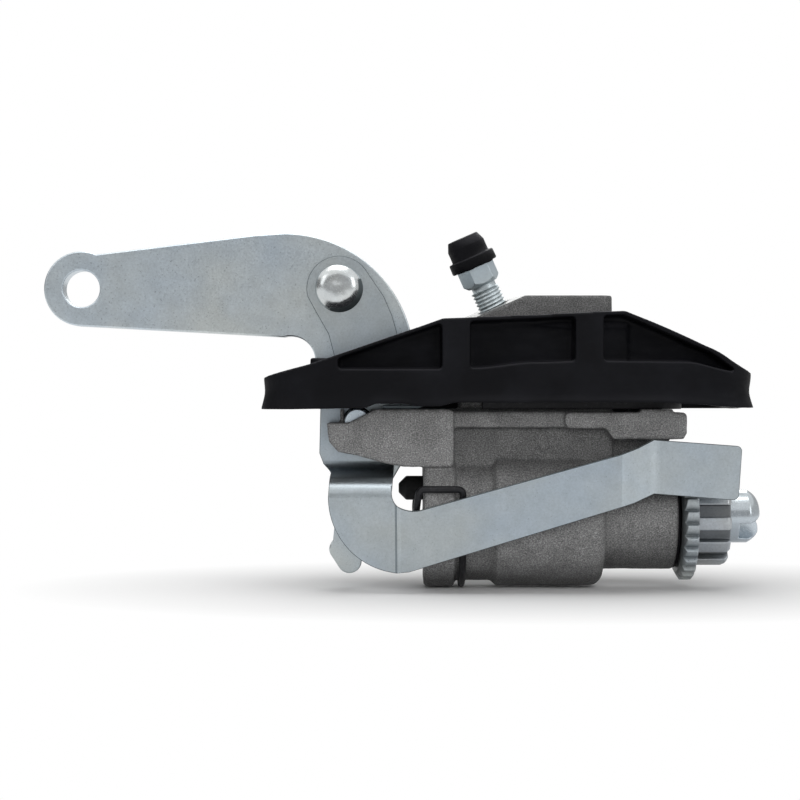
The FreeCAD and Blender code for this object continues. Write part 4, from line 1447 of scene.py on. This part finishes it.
@dataclass
class Studio:
    """Camera, lamps, world, floor and the grey walls that the metal mirrors.

    The shadow fades between two radii in millimetres, measured on a floor that is stretched
    and shifted along the bore. The walls' greys are those at the far left and the far right.
    """

    distance: float = 0.5
    seen_width: float = 0.21333
    sensor: float = 36.0
    aim: Point = (-0.02853, 0.0, 0.0024)
    ambient: float = 0.12
    wall_greys: tuple[float, float] = (0.25, 0.64)
    wall_radius: float = 1.6
    wall_height: float = 1.1
    wall_middle: float = 0.25
    floor_radius: float = 3.0
    floor_gap: float = 0.05 * MM
    shadow: tuple[float, float] = (22.0, 85.0)
    shadow_stretch: float = 0.6
    shadow_shift: float = -6.0
    lamps: tuple[SoftBox, ...] = (
        SoftBox("top_box", (-0.05, -0.10, 0.62), 0.50, 1.8),
        SoftBox("front_left_box", (-0.55, -0.55, 0.32), 0.35, 0.5),
        SoftBox("front_right_box", (0.60, -0.50, 0.28), 0.35, 0.8),
        SoftBox("back_box", (0.05, 0.60, 0.42), 0.40, 1.5),
        SoftBox("front_fill", (0.05, -0.95, 0.13), 0.60, 6.5, False),
    )

    def camera(self) -> None:
        """The camera in front of the cylinder, level with its middle."""
        data = bpy.data.cameras.new("camera")
        data.sensor_width = self.sensor
        data.lens = self.sensor * self.distance / self.seen_width
        data.clip_start = 0.01
        camera = in_scene("camera", data)
        camera.location = Vector(self.aim) - Vector((0.0, self.distance, 0.0))
        camera.rotation_euler = (math.pi / 2, 0.0, 0.0)
        bpy.context.scene.camera = camera

    def world(self) -> None:
        """A white background for camera and mirror rays, and an even light for the rest."""
        world = bpy.data.worlds.new("studio")
        bpy.context.scene.world = world
        world.use_nodes = True
        nodes, links = world.node_tree.nodes, world.node_tree.links
        nodes.clear()
        rays = nodes.new("ShaderNodeLightPath")
        white = rays.outputs["Is Camera Ray"]
        for kind in ("Is Glossy Ray", "Is Transmission Ray"):
            total = nodes.new("ShaderNodeMath")
            links.new(white, total.inputs[0])
            links.new(rays.outputs[kind], total.inputs[1])
            white = total.outputs[0]
        level = nodes.new("ShaderNodeMapRange")
        level.inputs["To Min"].default_value = self.ambient
        level.inputs["To Max"].default_value = 1.0
        background = nodes.new("ShaderNodeBackground")
        background.inputs["Color"].default_value = (1.0, 1.0, 1.0, 1.0)
        output = nodes.new("ShaderNodeOutputWorld")
        links.new(white, level.inputs["Value"])
        links.new(level.outputs[0], background.inputs["Strength"])
        links.new(background.outputs[0], output.inputs["Surface"])

    def floor(self) -> None:
        """A pale floor under the cylinder that turns plain white away from its shadow."""
        bm = bmesh.new()
        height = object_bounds()[0].z - self.floor_gap
        bmesh.ops.create_circle(bm, cap_ends=True, segments=ROUND, radius=self.floor_radius,
                                matrix=Matrix.Translation((0.0, 0.0, height)))
        floor = in_scene("floor", as_mesh("floor", bm))
        tree = Tree("floor_white")
        tree.feed(Base_Color=(0.86, 0.86, 0.86), Roughness=0.9, Specular_IOR_Level=0.1)
        nodes, links = tree.nodes, tree.links
        white = nodes.new("ShaderNodeEmission")
        blend = nodes.new("ShaderNodeMixShader")
        rays = nodes.new("ShaderNodeLightPath").outputs
        seen = tree.maths("MAXIMUM", rays["Is Camera Ray"], rays["Is Glossy Ray"])
        place = tree.mapped((self.shadow_stretch, 1.0, 0.0), shift=(self.shadow_shift, 0.0, 0.0))
        away = tree.grey(tree.reach(place), 0.0, 1.0, *self.shadow)
        links.new(tree.maths("MULTIPLY", away, seen), blend.inputs[0])
        links.new(tree.shader.outputs[0], blend.inputs[1])
        links.new(white.outputs[0], blend.inputs[2])
        output = next(n for n in nodes if n.type == "OUTPUT_MATERIAL")
        links.new(blend.outputs[0], output.inputs["Surface"])
        floor.data.materials.append(tree.material)
        floor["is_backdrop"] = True

    def walls(self) -> None:
        """A grey band round the studio, lighter at the right, that only mirror rays meet."""
        bm = bmesh.new()
        bmesh.ops.create_cone(bm, cap_ends=False, segments=ROUND, radius1=self.wall_radius,
                              radius2=self.wall_radius, depth=self.wall_height,
                              matrix=Matrix.Translation((0.0, 0.0, self.wall_middle)))
        wall = in_scene("studio_wall", as_mesh("studio_wall", bm))
        tree = Tree("wall_grey")
        edge = self.wall_radius / MM
        grey = tree.grey(tree.part(tree.place, "X"), *self.wall_greys, -edge, edge)
        tree.feed(Base_Color=(0.0, 0.0, 0.0), Roughness=1.0, Specular_IOR_Level=0.0,
                  Emission_Color=grey, Emission_Strength=1.0)
        wall.data.materials.append(tree.material)
        for ray in ("camera", "diffuse", "shadow", "transmission", "volume_scatter"):
            setattr(wall, f"visible_{ray}", False)
        wall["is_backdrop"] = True

    def build(self) -> None:
        """Sets the studio up."""
        bpy.context.scene.view_settings.view_transform = "Standard"
        self.camera()
        self.world()
        self.floor()
        self.walls()
        for lamp in self.lamps:
            lamp.hang()


def main() -> None:
    """Builds the cylinder's pieces and the studio."""
    logging.basicConfig(level=logging.INFO)
    Studio().build()
    LeverGroup().build()
    Casting().build()
    WireClip().build()
    Boot().build()
    Adjuster().build()
    BleedScrew().build()


if __name__ == "__main__":
    main()
